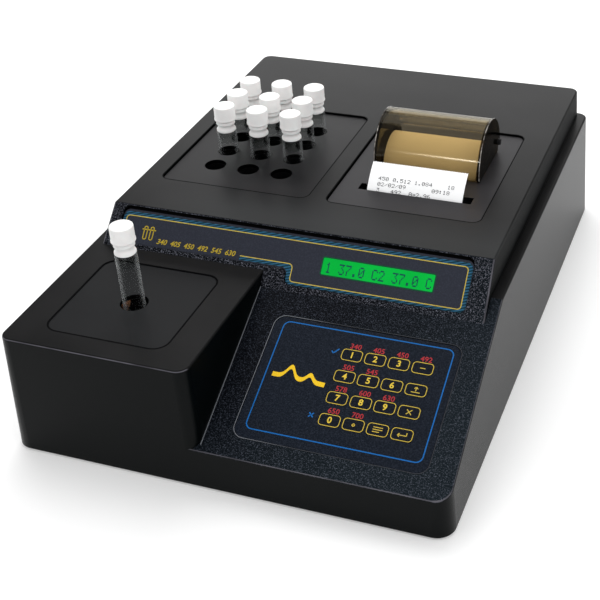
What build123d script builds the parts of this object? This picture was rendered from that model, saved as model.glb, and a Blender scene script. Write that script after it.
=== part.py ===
from build123d import *
import os
from math import cos, radians, sin, sqrt, tan

# Bench-top biochemistry analyzer in millimetres, +Z up, the operator at the front (-Y).
# Inside this file Y is measured from the front edge of the housing; every part is moved
# back by half the depth when it is written, so that the origin is the middle of the base.

# Housing
WIDTH = 250.0
DEPTH = 347.0
TOP_HEIGHT = 90.5
SHOULDER_HEIGHT = 72.4
FRONT_WALL_HEIGHT = 24.4
SKIRT_GAP = 1.2
WALL = 3.0
DRAFT = 2.73
CORNER_RADIUS = 10.0
EDGE_RADIUS = 1.2
LEDGE_WIDTH = 6.2
PLATEAU_CORNER_RADIUS = 7.2
TOP_FRONT = 120.4
DISPLAY_ANGLE = 44.4
KEYPAD_ANGLE = 23.7
BLOCK_RIGHT = -13.0
BLOCK_CORNER_RADIUS = 7.0
PLATEAU_ROOT = 14.0
CUT_MARGIN = 60.0

# Base plate, feet and the six screws that hold the housing down
FOOT_HEIGHT = 3.2
FOOT_RADIUS = 8.0
FOOT_FROM_SIDE = 30.0
FOOT_FROM_END = 32.0
BASE_THICKNESS = 2.0
BASE_GAP = 0.4
COLUMN_RADIUS = 4.5
COLUMN_FROM_SIDE = 11.0
COLUMN_FROM_END = 13.0
SCREW_RADIUS = 1.5
SCREW_LENGTH = 11.0
SCREW_HEAD_RADIUS = 3.0
SCREW_CLEARANCE = 0.1
VENT_LENGTH = 34.0
VENT_WIDTH = 3.0
VENT_PITCH = 8.0
VENT_COUNT = 7

# Sunken panels: both top panels and the plate over the measuring cell
PANEL_THICKNESS = 2.5
PANEL_SINK = 1.0
PANEL_GAP = 0.7
PANEL_SHIFT = 0.45
PANEL_RADIUS = 5.0
SEAT_LIP = 3.0
SEAT_THICKNESS = 2.5
CELL_COVER_SINK = 0.3
CELL_COVER_GAP = 0.6
CELL_COVER_RADIUS = 8.0
TOP_PANEL_FRONT = 154.2
TOP_PANEL_BACK = 264.2
INCUBATOR_LEFT = -101.8
INCUBATOR_RIGHT = -7.7
PRINTER_LEFT = 4.4
PRINTER_RIGHT = 96.2
CELL_FROM_SIDE = 57.2
CELL_CENTRE_Y = 53.0
CELL_COVER_SIZE = 70.4
CELL_HOLE_RADIUS = 7.8

# Glass tubes and stoppers
TUBE_RADIUS = 6.0
TUBE_WALL = 0.8
TUBE_LENGTH = 75.0
TUBE_RUNNING_GAP = 0.3
RIM_ABOVE_PANEL = 14.7
CAP_RADIUS = 6.45
CAP_HEIGHT = 16.5
CAP_HEAD = 9.0
CAP_FLANGE = 0.2
CAP_PLUG_LENGTH = 8.0
CAP_PLUG_GAP = 0.3

# Incubator: four rows of three wells, the front row empty
WELL_X = -77.5
WELL_PITCH_X = 21.9
WELL_Y = 179.4
WELL_PITCH_Y = 19.5
WELL_COLUMNS = 3
WELL_ROWS = 4
WELL_RADIUS = 6.65
INCUBATOR_MARGIN = 14.0
HEATER_THICKNESS = 2.5

# Measuring cell and its light path
CELL_RIM_RISE = 31.8
CELL_BLOCK_SIZE = 34.0
CELL_BLOCK_DROP = 10.9
BEAM_HEIGHT = 40.0
BEAM_RADIUS = 3.0
CLIP_DROP = 4.2
CLIP_RADIUS = 9.6
CLIP_THICKNESS = 0.5
CLIP_SLOTS = 6
CLIP_SLOT_WIDTH = 1.4
FILTER_CIRCLE = 21.0
FILTER_COUNT = 8
FILTER_RADIUS = 5.5
FILTER_WHEEL_THICKNESS = 4.0
FILTER_WHEEL_MARGIN = 1.8
FILTER_WHEEL_FROM_CELL = 27.0
MOTOR_RADIUS = 15.0
MOTOR_LENGTH = 20.0
MOTOR_SHAFT_RADIUS = 2.5
MOTOR_GAP = 3.0
LAMP_RADIUS = 5.0
LAMP_LENGTH = 22.0
DETECTOR_SIZE = 30.0
BOARD_THICKNESS = 1.6

# Printer
ROLL_X = 51.6
ROLL_Y = 223.0
ROLL_SINK = 4.9
ROLL_RADIUS = 18.5
PAPER_WIDTH = 58.0
PAPER_THICKNESS = 0.25
CORE_RADIUS = 6.3
SPINDLE_RADIUS = 6.0
JOURNAL_RADIUS = 2.5
WELL_CLEARANCE = 3.0
BUCKET_WALL = 2.0
EXIT_AHEAD = (28.0, 12.0)
EXIT_BELOW = (21.1, 10.6)
SLOT_WIDTH = 68.8
SLOT_FRONT = 174.6
SLOT_BACK = 181.8
PAPER_PATH_Y = 175.3
PLATEN_SINK = 12.5
PLATEN_RADIUS = 5.5
PLATEN_SHAFT_RADIUS = 1.5
PAPER_GAP = 0.2
STRIP_END_BACK = 13.7
STRIP_END_RISE = 11.8
STRIP_BEND_SINK = 3.0
STRIP_BEND_RADIUS = 6.0
STRIP_LEAN = 38.0
HEAD_THICKNESS = 7.0
MECHANISM_WALL = 2.5
MECHANISM_SIDE_GAP = 6.0
MECHANISM_DROP = 9.0
HEAD_RISE = 7.0
GUIDE_THICKNESS = 3.0
DRIVE_RADIUS = 7.0
DRIVE_LENGTH = 26.0

# Smoked cover over the paper roll
COVER_Y = 223.0
COVER_RISE = 5.0
COVER_RADIUS = 23.7
COVER_WALL = 1.6
COVER_WIDTH = 66.0
COVER_FOOT_GAP = 0.5
HINGE_Y = 240.5
HINGE_RISE = 7.5
HINGE_PIN_RADIUS = 1.2
HINGE_GAP = 0.05
HINGE_HEAD_RADIUS = 1.9
HINGE_HEAD = 1.8
HINGE_EAR_RADIUS = 2.3
HINGE_EAR_WIDTH = 1.6
HINGE_RELIEF = 3.7
HINGE_NOTCH = 5.5
HINGE_CLEAR = 2.0
SIDE_GAP = 0.4

# Display strip on the steep face, measured down from the bend at the top
FASCIA_LEFT = -106.9
FASCIA_RIGHT = 104.0
FASCIA_TOP = 2.6
FASCIA_BOTTOM_LEFT = 22.9
FASCIA_BOTTOM_RIGHT = 31.6
FASCIA_STEP_X = 0.0
FASCIA_THICKNESS = 0.5
FASCIA_SINK = 1.2
FASCIA_GAP = 0.3
FASCIA_HEAD_GAP = 1.5
FASCIA_RADIUS = 4.0
WINDOW_LEFT = 19.3
WINDOW_RIGHT = 84.7
WINDOW_TOP = 12.7
WINDOW_BOTTOM = 23.4
WINDOW_MARGIN = 1.5
LCD_BEZEL_MARGIN = 5.0
LCD_BEZEL_DEPTH = 6.0
LCD_BOARD_MARGIN = 3.0

# Keypad on the gentle slope, measured up from the front edge
OVERLAY_LEFT = 3.6
OVERLAY_RIGHT = 108.6
OVERLAY_LOW = 12.8
OVERLAY_HIGH = 87.0
OVERLAY_RADIUS = 6.0
OVERLAY_THICKNESS = 0.6
OVERLAY_SINK = 0.3
OVERLAY_GAP = 0.3
CIRCUIT_THICKNESS = 1.3
KEY_COLUMNS = 4
KEY_ROWS = 4
KEY_LEFT = 51.6
KEY_LOW = 31.6
KEY_PITCH_X = 13.05
KEY_PITCH_UP = 13.0
KEY_LENGTH = 11.8
KEY_WIDTH = 7.2
KEY_RADIUS = 2.2
KEY_THICKNESS = 1.0
KEY_PROUD = 0.1
KEY_GAP = 0.15
KEY_POCKET_DEPTH = 0.7

# Rear panel with the mains inlet, its rocker switch and the serial port
REAR_FROM_SIDE = 21.0
REAR_WIDTH = 92.0
REAR_LOW = 12.0
REAR_HIGH = 50.0
REAR_OVERLAP = 3.0
REAR_PLATE = 1.5
INLET_FROM_END = 34.0
INLET_UP = 30.0
INLET_FLANGE = (60.0, 31.0, 1.6)
INLET_BODY = (52.0, 26.0, 24.0)
SOCKET_OFFSET = -11.5
SOCKET_SIZE = (24.0, 16.2, 16.5)
PIN_SIZE = (2.0, 4.0, 11.5)
PIN_PITCH = 7.0
ROCKER_OFFSET = 15.5
ROCKER_RADIUS = 9.4
ROCKER_HEIGHT = 3.0
ROCKER_WIDTH = 14.0
ROCKER_TILT = 8.0
ROCKER_GAP = 0.3
ROCKER_POCKET = 10.0
PORT_FROM_END = 14.0
PORT_UP = 30.0
PORT_FLANGE = (31.0, 12.6, 1.2)
PORT_SHELL = (17.5, 9.0, 4.6)
PORT_BODY_DEPTH = 8.0
CONTACT_PITCH = 2.77
CONTACT_ROW = 1.42
CONTACT_RADIUS = 0.6

# Electronics
STANDOFF_HEIGHT = 6.0
STANDOFF_RADIUS = 3.0
BOARD_FROM_SIDE = 21.0
BOARD_FRONT = 125.0
BOARD_WIDTH = 98.0
BOARD_FROM_BACK = 22.0
BOARD_MARGIN = 5.0
TRANSFORMER_SIZE = (56.0, 46.0, 44.0)
TRANSFORMER_FROM_SIDE = 63.0
TRANSFORMER_FROM_BACK = 67.0
CHIP_SIZES = ((30.0, 14.0, 4.0), (22.0, 22.0, 3.0), (36.0, 12.0, 4.0), (26.0, 9.0, 4.0))
CHIP_PLACES = ((24.0, 25.0), (64.0, 25.0), (24.0, 55.0), (68.0, 65.0))
CAN_RADIUS = 5.0
CAN_HEIGHT = 9.0
CAN_PITCH = 16.0
CAN_COUNT = 5
CAN_FROM_LEFT = 14.0
CAN_FROM_BACK = 25.0

# Values that follow from the ones above
SLOPE = tan(radians(DRAFT))
LEAN = tan(radians(DISPLAY_ANGLE))
FOOT_X = WIDTH / 2 - FOOT_FROM_SIDE
COLUMN_X = WIDTH / 2 - COLUMN_FROM_SIDE
CELL_CENTRE_X = CELL_FROM_SIDE - WIDTH / 2
REAR_RIGHT = WIDTH / 2 - REAR_FROM_SIDE
REAR_LEFT = REAR_RIGHT - REAR_WIDTH
INLET_X = REAR_RIGHT - INLET_FROM_END
PORT_X = REAR_LEFT + PORT_FROM_END
BOARD_LEFT = BOARD_FROM_SIDE - WIDTH / 2
MAIN_BOARD = (BOARD_LEFT, BOARD_FRONT, BOARD_LEFT + BOARD_WIDTH, DEPTH - BOARD_FROM_BACK)
TRANSFORMER_X = WIDTH / 2 - TRANSFORMER_FROM_SIDE
TRANSFORMER_Y = DEPTH - TRANSFORMER_FROM_BACK
RISE = tan(radians(KEYPAD_ANGLE))
BASE_BOTTOM = FOOT_HEIGHT
BASE_TOP = BASE_BOTTOM + BASE_THICKNESS
PANEL_TOP = TOP_HEIGHT - PANEL_SINK
PANEL_BOTTOM = PANEL_TOP - PANEL_THICKNESS
RIM_HEIGHT = PANEL_TOP + RIM_ABOVE_PANEL
CELL_RIM_HEIGHT = SHOULDER_HEIGHT + CELL_RIM_RISE
CELL_BLOCK_TOP = SHOULDER_HEIGHT - CELL_BLOCK_DROP
CLIP_TOP = SHOULDER_HEIGHT - CLIP_DROP
ROLL_HEIGHT = PANEL_TOP - ROLL_SINK
PLATEN_HEIGHT = PANEL_TOP - PLATEN_SINK
MECHANISM_LOW = PLATEN_HEIGHT - MECHANISM_DROP
STRIP_BEND_HEIGHT = PANEL_TOP - STRIP_BEND_SINK
STRIP_END_Y = PAPER_PATH_Y + STRIP_END_BACK
STRIP_END_HEIGHT = PANEL_TOP + STRIP_END_RISE
COVER_HEIGHT = PANEL_TOP + COVER_RISE
HINGE_HEIGHT = PANEL_TOP + HINGE_RISE
BORE_RADIUS = TUBE_RADIUS + TUBE_RUNNING_GAP
TUBE_FLOOR = RIM_HEIGHT - TUBE_LENGTH - TUBE_RUNNING_GAP
SLOPE_FRONT = (FRONT_WALL_HEIGHT - SKIRT_GAP) * SLOPE
BUCKET_RADIUS = ROLL_RADIUS + WELL_CLEARANCE
PLATEN_Y = PAPER_PATH_Y + PAPER_THICKNESS / 2 + PAPER_GAP + PLATEN_RADIUS
COVER_LEFT = ROLL_X - COVER_WIDTH / 2
COVER_RIGHT = ROLL_X + COVER_WIDTH / 2
WHEEL_RADIUS = FILTER_CIRCLE + FILTER_RADIUS + FILTER_WHEEL_MARGIN
WHEEL_X = CELL_CENTRE_X + FILTER_CIRCLE
WHEEL_FRONT = CELL_CENTRE_Y + FILTER_WHEEL_FROM_CELL
BOARD_TOP = BASE_TOP + STANDOFF_HEIGHT + BOARD_THICKNESS

DISPLAY_PLANE = Plane(
    origin=(0, TOP_FRONT, TOP_HEIGHT),
    x_dir=(1, 0, 0),
    z_dir=(0, -sin(radians(DISPLAY_ANGLE)), cos(radians(DISPLAY_ANGLE))),
)
KEYPAD_PLANE = Plane(
    origin=(0, SLOPE_FRONT, FRONT_WALL_HEIGHT),
    x_dir=(1, 0, 0),
    z_dir=(0, -sin(radians(KEYPAD_ANGLE)), cos(radians(KEYPAD_ANGLE))),
)
REAR_PLANE = Plane(
    origin=(0, DEPTH, SKIRT_GAP),
    x_dir=(1, 0, 0),
    z_dir=(0, -cos(radians(DRAFT)), -sin(radians(DRAFT))),
)


def save(name, part):
    """Write one sub-part, moved so that the origin is the middle of the base."""
    solids = [Pos(0, -DEPTH / 2, 0) * solid for solid in part.solids()]
    export_step(Compound(solids), "parts/" + name + ".step")


def box(x0, x1, y0, y1, z0, z1):
    """A plain box between two corners."""
    return Pos((x0 + x1) / 2, (y0 + y1) / 2, (z0 + z1) / 2) * Box(x1 - x0, y1 - y0, z1 - z0)


def rounded_box(x0, x1, y0, y1, z0, z1, radius):
    """A box with rounded upright edges."""
    outline = Pos((x0 + x1) / 2, (y0 + y1) / 2, z0) * RectangleRounded(x1 - x0, y1 - y0, radius)
    return extrude(outline, amount=z1 - z0)


def rod_x(radius, x0, x1, y, z):
    """A round bar along X."""
    return Pos((x0 + x1) / 2, y, z) * Rot(0, 90, 0) * Cylinder(radius, x1 - x0)


def rod_y(radius, y0, y1, x, z):
    """A round bar along Y."""
    return Pos(x, (y0 + y1) / 2, z) * Rot(90, 0, 0) * Cylinder(radius, y1 - y0)


def rod_z(radius, z0, z1, x, y):
    """A round bar along Z."""
    return Pos(x, y, (z0 + z1) / 2) * Cylinder(radius, z1 - z0)


def side_prism(points, x0, x1):
    """A prism along X whose section is a closed outline of (y, z) points."""
    face = make_face(Polyline(*[(x0, y, z) for y, z in points], close=True))
    return extrude(face, amount=x1 - x0, dir=(1, 0, 0))


def drafted_block(x0, x1, y0, y1, z0, z1, radius):
    """An upright rounded block whose walls lean inwards by the draft angle."""
    outline = Pos((x0 + x1) / 2, (y0 + y1) / 2, z0) * RectangleRounded(x1 - x0, y1 - y0, radius)
    return extrude(outline, amount=z1 - z0, taper=DRAFT)


def body_solid(inset, bottom):
    """The housing's solid form, with every face moved inwards by the inset."""
    spread = (SKIRT_GAP - bottom) * SLOPE - inset
    shoulder = SHOULDER_HEIGHT - inset
    half = WIDTH / 2 + spread
    back = DEPTH + spread
    lower = drafted_block(-half, half, -spread, back, bottom, shoulder, CORNER_RADIUS + spread)
    lower -= keypad_cut(inset)
    plateau = plateau_solid(inset, back, bottom)
    if inset == 0:
        corner = lower.edges().filter_by(is_block_corner)
        lower = fillet(corner, BLOCK_CORNER_RADIUS)
        lower = fillet(lower.edges().filter_by(is_soft_lower_edge), EDGE_RADIUS)
        plateau = fillet(plateau.edges().filter_by(is_soft_plateau_edge), EDGE_RADIUS)
    return lower + plateau


def is_block_corner(edge):
    """The upright edge where the block's right wall meets the front wall."""
    middle = edge @ 0.5
    upright = abs((edge % 0.5).Z) > 0.9
    return upright and abs(middle.X - BLOCK_RIGHT) < 6 and middle.Y < 8


def is_soft_lower_edge(edge):
    """The outline of the shoulder and of the keypad slope, without its inner corner."""
    middle = edge @ 0.5
    ends = (edge @ 0, edge @ 1)
    bend_y = SLOPE_FRONT + (SHOULDER_HEIGHT - FRONT_WALL_HEIGHT) / RISE
    on_shoulder = all(abs(end.Z - SHOULDER_HEIGHT) < 0.01 for end in ends)
    is_bend = all(abs(end.Y - bend_y) < 0.01 for end in ends)
    on_slope = all(abs(KEYPAD_PLANE.to_local_coords(end).Z) < 0.01 for end in ends)
    at_rim = middle.Y < 2 or middle.X > WIDTH / 2 - CORNER_RADIUS
    return (on_shoulder and not is_bend) or (on_slope and at_rim)


def is_soft_plateau_edge(edge):
    """The plateau's top outline and the two sides of its display face."""
    ends = (edge @ 0, edge @ 1)
    on_top = all(abs(end.Z - TOP_HEIGHT) < 0.01 for end in ends)
    on_face = all(abs(DISPLAY_PLANE.to_local_coords(end).Z) < 0.01 for end in ends)
    across = abs((edge % 0.5).X) > 0.9
    return on_top or (on_face and not across)


def keypad_cut(inset):
    """All that lies above the keypad slope and to the right of the raised block."""
    wall_top = BLOCK_RIGHT - inset
    low = FRONT_WALL_HEIGHT - CUT_MARGIN
    high = SHOULDER_HEIGHT + CUT_MARGIN
    start = -CUT_MARGIN
    foot = wall_top + (SHOULDER_HEIGHT - low) * SLOPE
    head = wall_top + (SHOULDER_HEIGHT - high) * SLOPE
    corners = [(head, start, high), (foot, start, low), (WIDTH, start, low), (WIDTH, start, high)]
    beside = extrude(make_face(Polyline(*corners, close=True)), amount=DEPTH / 2 - start, dir=(0, 1, 0))
    shoulder = SHOULDER_HEIGHT - inset
    drop = inset / cos(radians(KEYPAD_ANGLE))
    front_height = FRONT_WALL_HEIGHT - drop - (SLOPE_FRONT - start) * RISE
    back_y = SLOPE_FRONT + (shoulder - FRONT_WALL_HEIGHT + drop) / RISE
    section = [(start, front_height), (back_y, shoulder), (back_y, high), (start, high)]
    return beside & side_prism(section, -WIDTH, WIDTH)


def plateau_solid(inset, back, bottom):
    """The raised rear part, whose front is the steep display face."""
    low = SHOULDER_HEIGHT - PLATEAU_ROOT - inset
    top = TOP_HEIGHT - inset
    half = WIDTH / 2 - (low - SKIRT_GAP) * SLOPE - LEDGE_WIDTH - inset
    rear = back - (low - bottom) * SLOPE
    front = TOP_FRONT - CUT_MARGIN
    block = drafted_block(-half, half, front, rear, low, top, PLATEAU_CORNER_RADIUS - inset)
    shift = inset / sin(radians(DISPLAY_ANGLE))
    bend = TOP_FRONT + shift - inset / LEAN
    foot = bend - (top - low) / LEAN
    behind = DEPTH + CUT_MARGIN
    section = [(foot, low), (bend, top), (behind, top), (behind, low)]
    return block & side_prism(section, -WIDTH, WIDTH)


def plate(plane, outline, start, end):
    """A flat outline on a plane, made solid between two heights along the plane's normal."""
    return extrude(plane.offset(start) * outline, amount=end - start)


def panel_seat(x0, x1, y0, y1, surface, sink, gap, radius):
    """The rim under a panel, the recess that holds it and the opening through it."""
    floor = surface - sink - PANEL_THICKNESS
    low = floor - SEAT_THICKNESS
    reach = WALL
    rim = rounded_box(x0 - reach, x1 + reach, y0 - reach, y1 + reach, low, surface - 1, radius + reach)
    recess = rounded_box(x0 - gap, x1 + gap, y0 - gap, y1 + gap, floor, surface + 1, radius + gap)
    lip = SEAT_LIP
    opening = rounded_box(x0 + lip, x1 - lip, y0 + lip, y1 - lip, low - 1, surface, radius - 1)
    return rim, recess + opening


def cell_cover_outline():
    """The four sides of the plate over the measuring cell."""
    half = CELL_COVER_SIZE / 2
    return CELL_CENTRE_X - half, CELL_CENTRE_X + half, CELL_CENTRE_Y - half, CELL_CENTRE_Y + half


def column_places():
    """The six places where the housing is screwed to the base plate."""
    rows = (COLUMN_FROM_END, DEPTH / 2, DEPTH - COLUMN_FROM_END)
    return [(side * COLUMN_X, y) for side in (-1, 1) for y in rows]


def housing_cover():
    """The moulded housing: a drafted shell with seats, recesses and screw columns."""
    outer = body_solid(0, SKIRT_GAP)
    shell = outer - body_solid(WALL, SKIRT_GAP - 1)
    for x, y in column_places():
        column = rod_z(COLUMN_RADIUS, BASE_TOP, TOP_HEIGHT, x, y) & outer
        pilot = rod_z(SCREW_RADIUS + SCREW_CLEARANCE, BASE_TOP - 1, BASE_TOP + SCREW_LENGTH, x, y)
        shell = shell + column - pilot
    top = (TOP_HEIGHT, PANEL_SINK, PANEL_GAP, PANEL_RADIUS)
    cell = (SHOULDER_HEIGHT, CELL_COVER_SINK, CELL_COVER_GAP, CELL_COVER_RADIUS)
    seats = [
        panel_seat(INCUBATOR_LEFT, INCUBATOR_RIGHT, TOP_PANEL_FRONT, TOP_PANEL_BACK, *top),
        panel_seat(PRINTER_LEFT, PRINTER_RIGHT, TOP_PANEL_FRONT, TOP_PANEL_BACK, *top),
        panel_seat(*cell_cover_outline(), *cell),
    ]
    for rim, opening in seats:
        shell = shell + rim - opening
    recess = fascia_outline(FASCIA_GAP, FASCIA_HEAD_GAP)
    shell -= plate(DISPLAY_PLANE, recess, -FASCIA_SINK - FASCIA_THICKNESS, 2)
    shell -= plate(DISPLAY_PLANE, window_outline(WINDOW_MARGIN), -WALL - 1, 1)
    depth = OVERLAY_SINK + OVERLAY_THICKNESS + CIRCUIT_THICKNESS
    shell -= plate(KEYPAD_PLANE, overlay_outline(OVERLAY_GAP), -depth, 2)
    return shell - plate(REAR_PLANE, rear_outline(0), -1, WALL + 1)


def base_plate():
    """The flat metal floor with its countersunk screw holes and vent slots."""
    shift = WALL + BASE_GAP + (BASE_BOTTOM - SKIRT_GAP) * SLOPE
    half = WIDTH / 2 - shift
    floor = rounded_box(-half, half, shift, DEPTH - shift, BASE_BOTTOM, BASE_TOP, CORNER_RADIUS - WALL)
    for x, y in column_places():
        floor -= screw(x, y, SCREW_CLEARANCE)
    for index in range(VENT_COUNT):
        y = DEPTH / 2 + (index - (VENT_COUNT - 1) / 2) * VENT_PITCH
        for side in (-1, 1):
            slot = Pos(side * WIDTH / 5, y, BASE_BOTTOM - 1) * SlotOverall(VENT_LENGTH, VENT_WIDTH)
            floor -= extrude(slot, amount=BASE_THICKNESS + 2)
    return floor


def screw(x, y, grow):
    """A countersunk screw, head down, or the room that it needs."""
    taper = SCREW_HEAD_RADIUS - SCREW_RADIUS
    cone = Cone(SCREW_HEAD_RADIUS + grow, SCREW_RADIUS + grow, taper)
    shank = rod_z(SCREW_RADIUS + grow, BASE_BOTTOM, BASE_BOTTOM + SCREW_LENGTH - 2, x, y)
    return Pos(x, y, BASE_BOTTOM + taper / 2) * cone + shank


def base_screws():
    """Six countersunk screws from the base plate into the housing's columns."""
    return Compound(children=[screw(x, y, 0) for x, y in column_places()])


def rubber_feet():
    """Four round feet with a bevelled foot edge."""
    feet = []
    for x in (-FOOT_X, FOOT_X):
        for y in (FOOT_FROM_END, DEPTH - FOOT_FROM_END):
            foot = rod_z(FOOT_RADIUS, 0, FOOT_HEIGHT, x, y)
            feet.append(chamfer(foot.edges().group_by(Axis.Z)[0], FOOT_HEIGHT / 4))
    return Compound(children=feet)


def well_places():
    """The twelve tube wells of the incubator, the front row first."""
    rows = range(WELL_ROWS)
    columns = range(WELL_COLUMNS)
    return [(WELL_X + i * WELL_PITCH_X, WELL_Y + j * WELL_PITCH_Y) for j in rows for i in columns]


def top_panel(left, right):
    """One of the two sunken plates in the top, pushed to the front right corner of its recess."""
    sides = (left + PANEL_SHIFT, right + PANEL_SHIFT)
    ends = (TOP_PANEL_FRONT - PANEL_SHIFT, TOP_PANEL_BACK - PANEL_SHIFT)
    return rounded_box(*sides, *ends, PANEL_BOTTOM, PANEL_TOP, PANEL_RADIUS)


def incubator_panel():
    """The plate over the incubator with its twelve holes."""
    panel = top_panel(INCUBATOR_LEFT, INCUBATOR_RIGHT)
    for x, y in well_places():
        panel -= rod_z(WELL_RADIUS, PANEL_BOTTOM - 1, PANEL_TOP + 1, x, y)
    return panel


def incubator_block_box(low, high):
    """The footprint of the heated block between two heights."""
    last_x = WELL_X + (WELL_COLUMNS - 1) * WELL_PITCH_X
    last_y = WELL_Y + (WELL_ROWS - 1) * WELL_PITCH_Y
    margin = INCUBATOR_MARGIN
    return rounded_box(WELL_X - margin, last_x + margin, WELL_Y - margin, last_y + margin, low, high, 3.0)


def incubator_block():
    """The heated aluminium block that hangs under the panel, drilled right through."""
    block = incubator_block_box(TUBE_FLOOR, PANEL_BOTTOM)
    for x, y in well_places():
        block -= rod_z(BORE_RADIUS, TUBE_FLOOR - 1, PANEL_BOTTOM + 1, x, y)
    return block


def heater_pad():
    """The silicone heater under the block, which closes the wells."""
    return incubator_block_box(TUBE_FLOOR - HEATER_THICKNESS, TUBE_FLOOR)


def glass_tube(x, y, rim):
    """A round-bottomed test tube."""
    low = rim - TUBE_LENGTH
    inner = TUBE_RADIUS - TUBE_WALL
    centre = Pos(x, y, low + TUBE_RADIUS)
    outside = rod_z(TUBE_RADIUS, low + TUBE_RADIUS, rim, x, y) + centre * Sphere(TUBE_RADIUS)
    inside = rod_z(inner, low + TUBE_RADIUS, rim + 1, x, y) + centre * Sphere(inner)
    return outside - inside


def stopper(x, y, rim):
    """A moulded stopper: plug, flared ring, waist, middle ring, flange and tall head."""
    waist = TUBE_RADIUS - 0.7
    ring_radius = TUBE_RADIUS
    flange = CAP_RADIUS + CAP_FLANGE
    plug = TUBE_RADIUS - TUBE_WALL - CAP_PLUG_GAP
    head_low = CAP_HEIGHT - CAP_HEAD
    outline = [
        (0, -CAP_PLUG_LENGTH),
        (plug, -CAP_PLUG_LENGTH),
        (plug, 0),
        (ring_radius + 0.1, 0),
        (ring_radius + 0.1, 1.3),
        (waist, 3.4),
        (waist, 4.2),
        (ring_radius, 4.5),
        (ring_radius, 5.6),
        (waist + 0.3, 6.0),
        (waist + 0.3, head_low - 0.9),
        (flange, head_low - 0.7),
        (flange, head_low),
        (CAP_RADIUS, head_low + 0.2),
        (CAP_RADIUS, CAP_HEIGHT - 0.5),
        (CAP_RADIUS - 0.5, CAP_HEIGHT),
        (0, CAP_HEIGHT),
    ]
    face = make_face(Polyline(*[(r, 0, z) for r, z in outline], close=True))
    return Pos(x, y, rim) * revolve(face, Axis.Z)


def stoppered_tube(x, y):
    """One tube with its stopper, standing in the incubator."""
    return Compound(children=[glass_tube(x, y, RIM_HEIGHT), stopper(x, y, RIM_HEIGHT)])


def cell_cover():
    """The lift-off plate over the measuring cell."""
    top = SHOULDER_HEIGHT - CELL_COVER_SINK
    panel = rounded_box(*cell_cover_outline(), top - PANEL_THICKNESS, top, CELL_COVER_RADIUS)
    return panel - rod_z(CELL_HOLE_RADIUS, 0, TOP_HEIGHT, CELL_CENTRE_X, CELL_CENTRE_Y)


def cell_block():
    """The block that holds the tube in the light path."""
    half = CELL_BLOCK_SIZE / 2
    x, y = CELL_CENTRE_X, CELL_CENTRE_Y
    block = box(x - half, x + half, y - half, y + half, BASE_TOP, CELL_BLOCK_TOP)
    block -= rod_z(BORE_RADIUS, CELL_RIM_HEIGHT - TUBE_LENGTH - TUBE_RUNNING_GAP, CELL_BLOCK_TOP + 1, x, y)
    return block - rod_y(BEAM_RADIUS, y - half - 1, y + half + 1, x, BEAM_HEIGHT)


def cell_clip():
    """The copper collar whose fingers centre the tube."""
    t = CLIP_THICKNESS
    foot = CELL_BLOCK_TOP
    outline = [
        (BORE_RADIUS + 1, foot),
        (CLIP_RADIUS, foot),
        (CLIP_RADIUS, CLIP_TOP),
        (CLIP_RADIUS - t, CLIP_TOP),
        (BORE_RADIUS, foot + 1.4),
        (BORE_RADIUS + t, foot + 1.2),
        (CLIP_RADIUS - t, CLIP_TOP - 2 * t),
        (CLIP_RADIUS - t, foot + t),
        (BORE_RADIUS + 1, foot + t),
    ]
    face = make_face(Polyline(*[(r, 0, z) for r, z in outline], close=True))
    collar = revolve(face, Axis.Z)
    slot = box(0, CLIP_RADIUS - t, -CLIP_SLOT_WIDTH / 2, CLIP_SLOT_WIDTH / 2, foot + 2 * t, CLIP_TOP - t)
    for index in range(CLIP_SLOTS):
        collar -= Rot(0, 0, index * 360 / CLIP_SLOTS) * slot
    return Pos(CELL_CENTRE_X, CELL_CENTRE_Y, 0) * collar


def filter_wheel():
    """The wheel of interference filters on its motor shaft."""
    back = WHEEL_FRONT + FILTER_WHEEL_THICKNESS
    wheel = rod_y(WHEEL_RADIUS, WHEEL_FRONT, back, WHEEL_X, BEAM_HEIGHT)
    filters = []
    for index in range(FILTER_COUNT):
        angle = radians(180 + index * 360 / FILTER_COUNT)
        x = WHEEL_X + FILTER_CIRCLE * cos(angle)
        z = BEAM_HEIGHT + FILTER_CIRCLE * sin(angle)
        wheel -= rod_y(FILTER_RADIUS, WHEEL_FRONT - 1, back + 1, x, z)
        filters.append(rod_y(FILTER_RADIUS - 0.05, WHEEL_FRONT + 1, back - 1, x, z))
    shaft_end = back + MOTOR_GAP + MOTOR_LENGTH / 2
    wheel += rod_y(MOTOR_SHAFT_RADIUS, WHEEL_FRONT - 1, shaft_end, WHEEL_X, BEAM_HEIGHT)
    return Compound(children=[wheel] + filters)


def filter_motor():
    """The stepper motor on its upright bracket."""
    front = WHEEL_FRONT + FILTER_WHEEL_THICKNESS + MOTOR_GAP
    left = WHEEL_X - MOTOR_RADIUS
    right = WHEEL_X + MOTOR_RADIUS
    body = rod_y(MOTOR_RADIUS, front, front + MOTOR_LENGTH, WHEEL_X, BEAM_HEIGHT)
    upright = box(left, right, front - 2, front, BASE_TOP, BEAM_HEIGHT + MOTOR_RADIUS)
    foot = box(left, right, front, front + MOTOR_LENGTH, BASE_TOP, BASE_TOP + 2)
    shaft = rod_y(MOTOR_SHAFT_RADIUS + 0.05, front - 5, front + MOTOR_LENGTH / 2 + 1, WHEEL_X, BEAM_HEIGHT)
    return body + upright + foot - shaft


def lamp_module():
    """The halogen lamp in its holder behind the filter wheel."""
    front = WHEEL_FRONT + FILTER_WHEEL_THICKNESS + MOTOR_GAP
    x = CELL_CENTRE_X
    lamp = rod_y(LAMP_RADIUS, front, front + LAMP_LENGTH, x, BEAM_HEIGHT)
    post = box(x - LAMP_RADIUS, x + LAMP_RADIUS, front + 4, front + LAMP_LENGTH - 4, BASE_TOP, BEAM_HEIGHT)
    return lamp + post - rod_y(BEAM_RADIUS, front - 1, front + 8, x, BEAM_HEIGHT)


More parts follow.
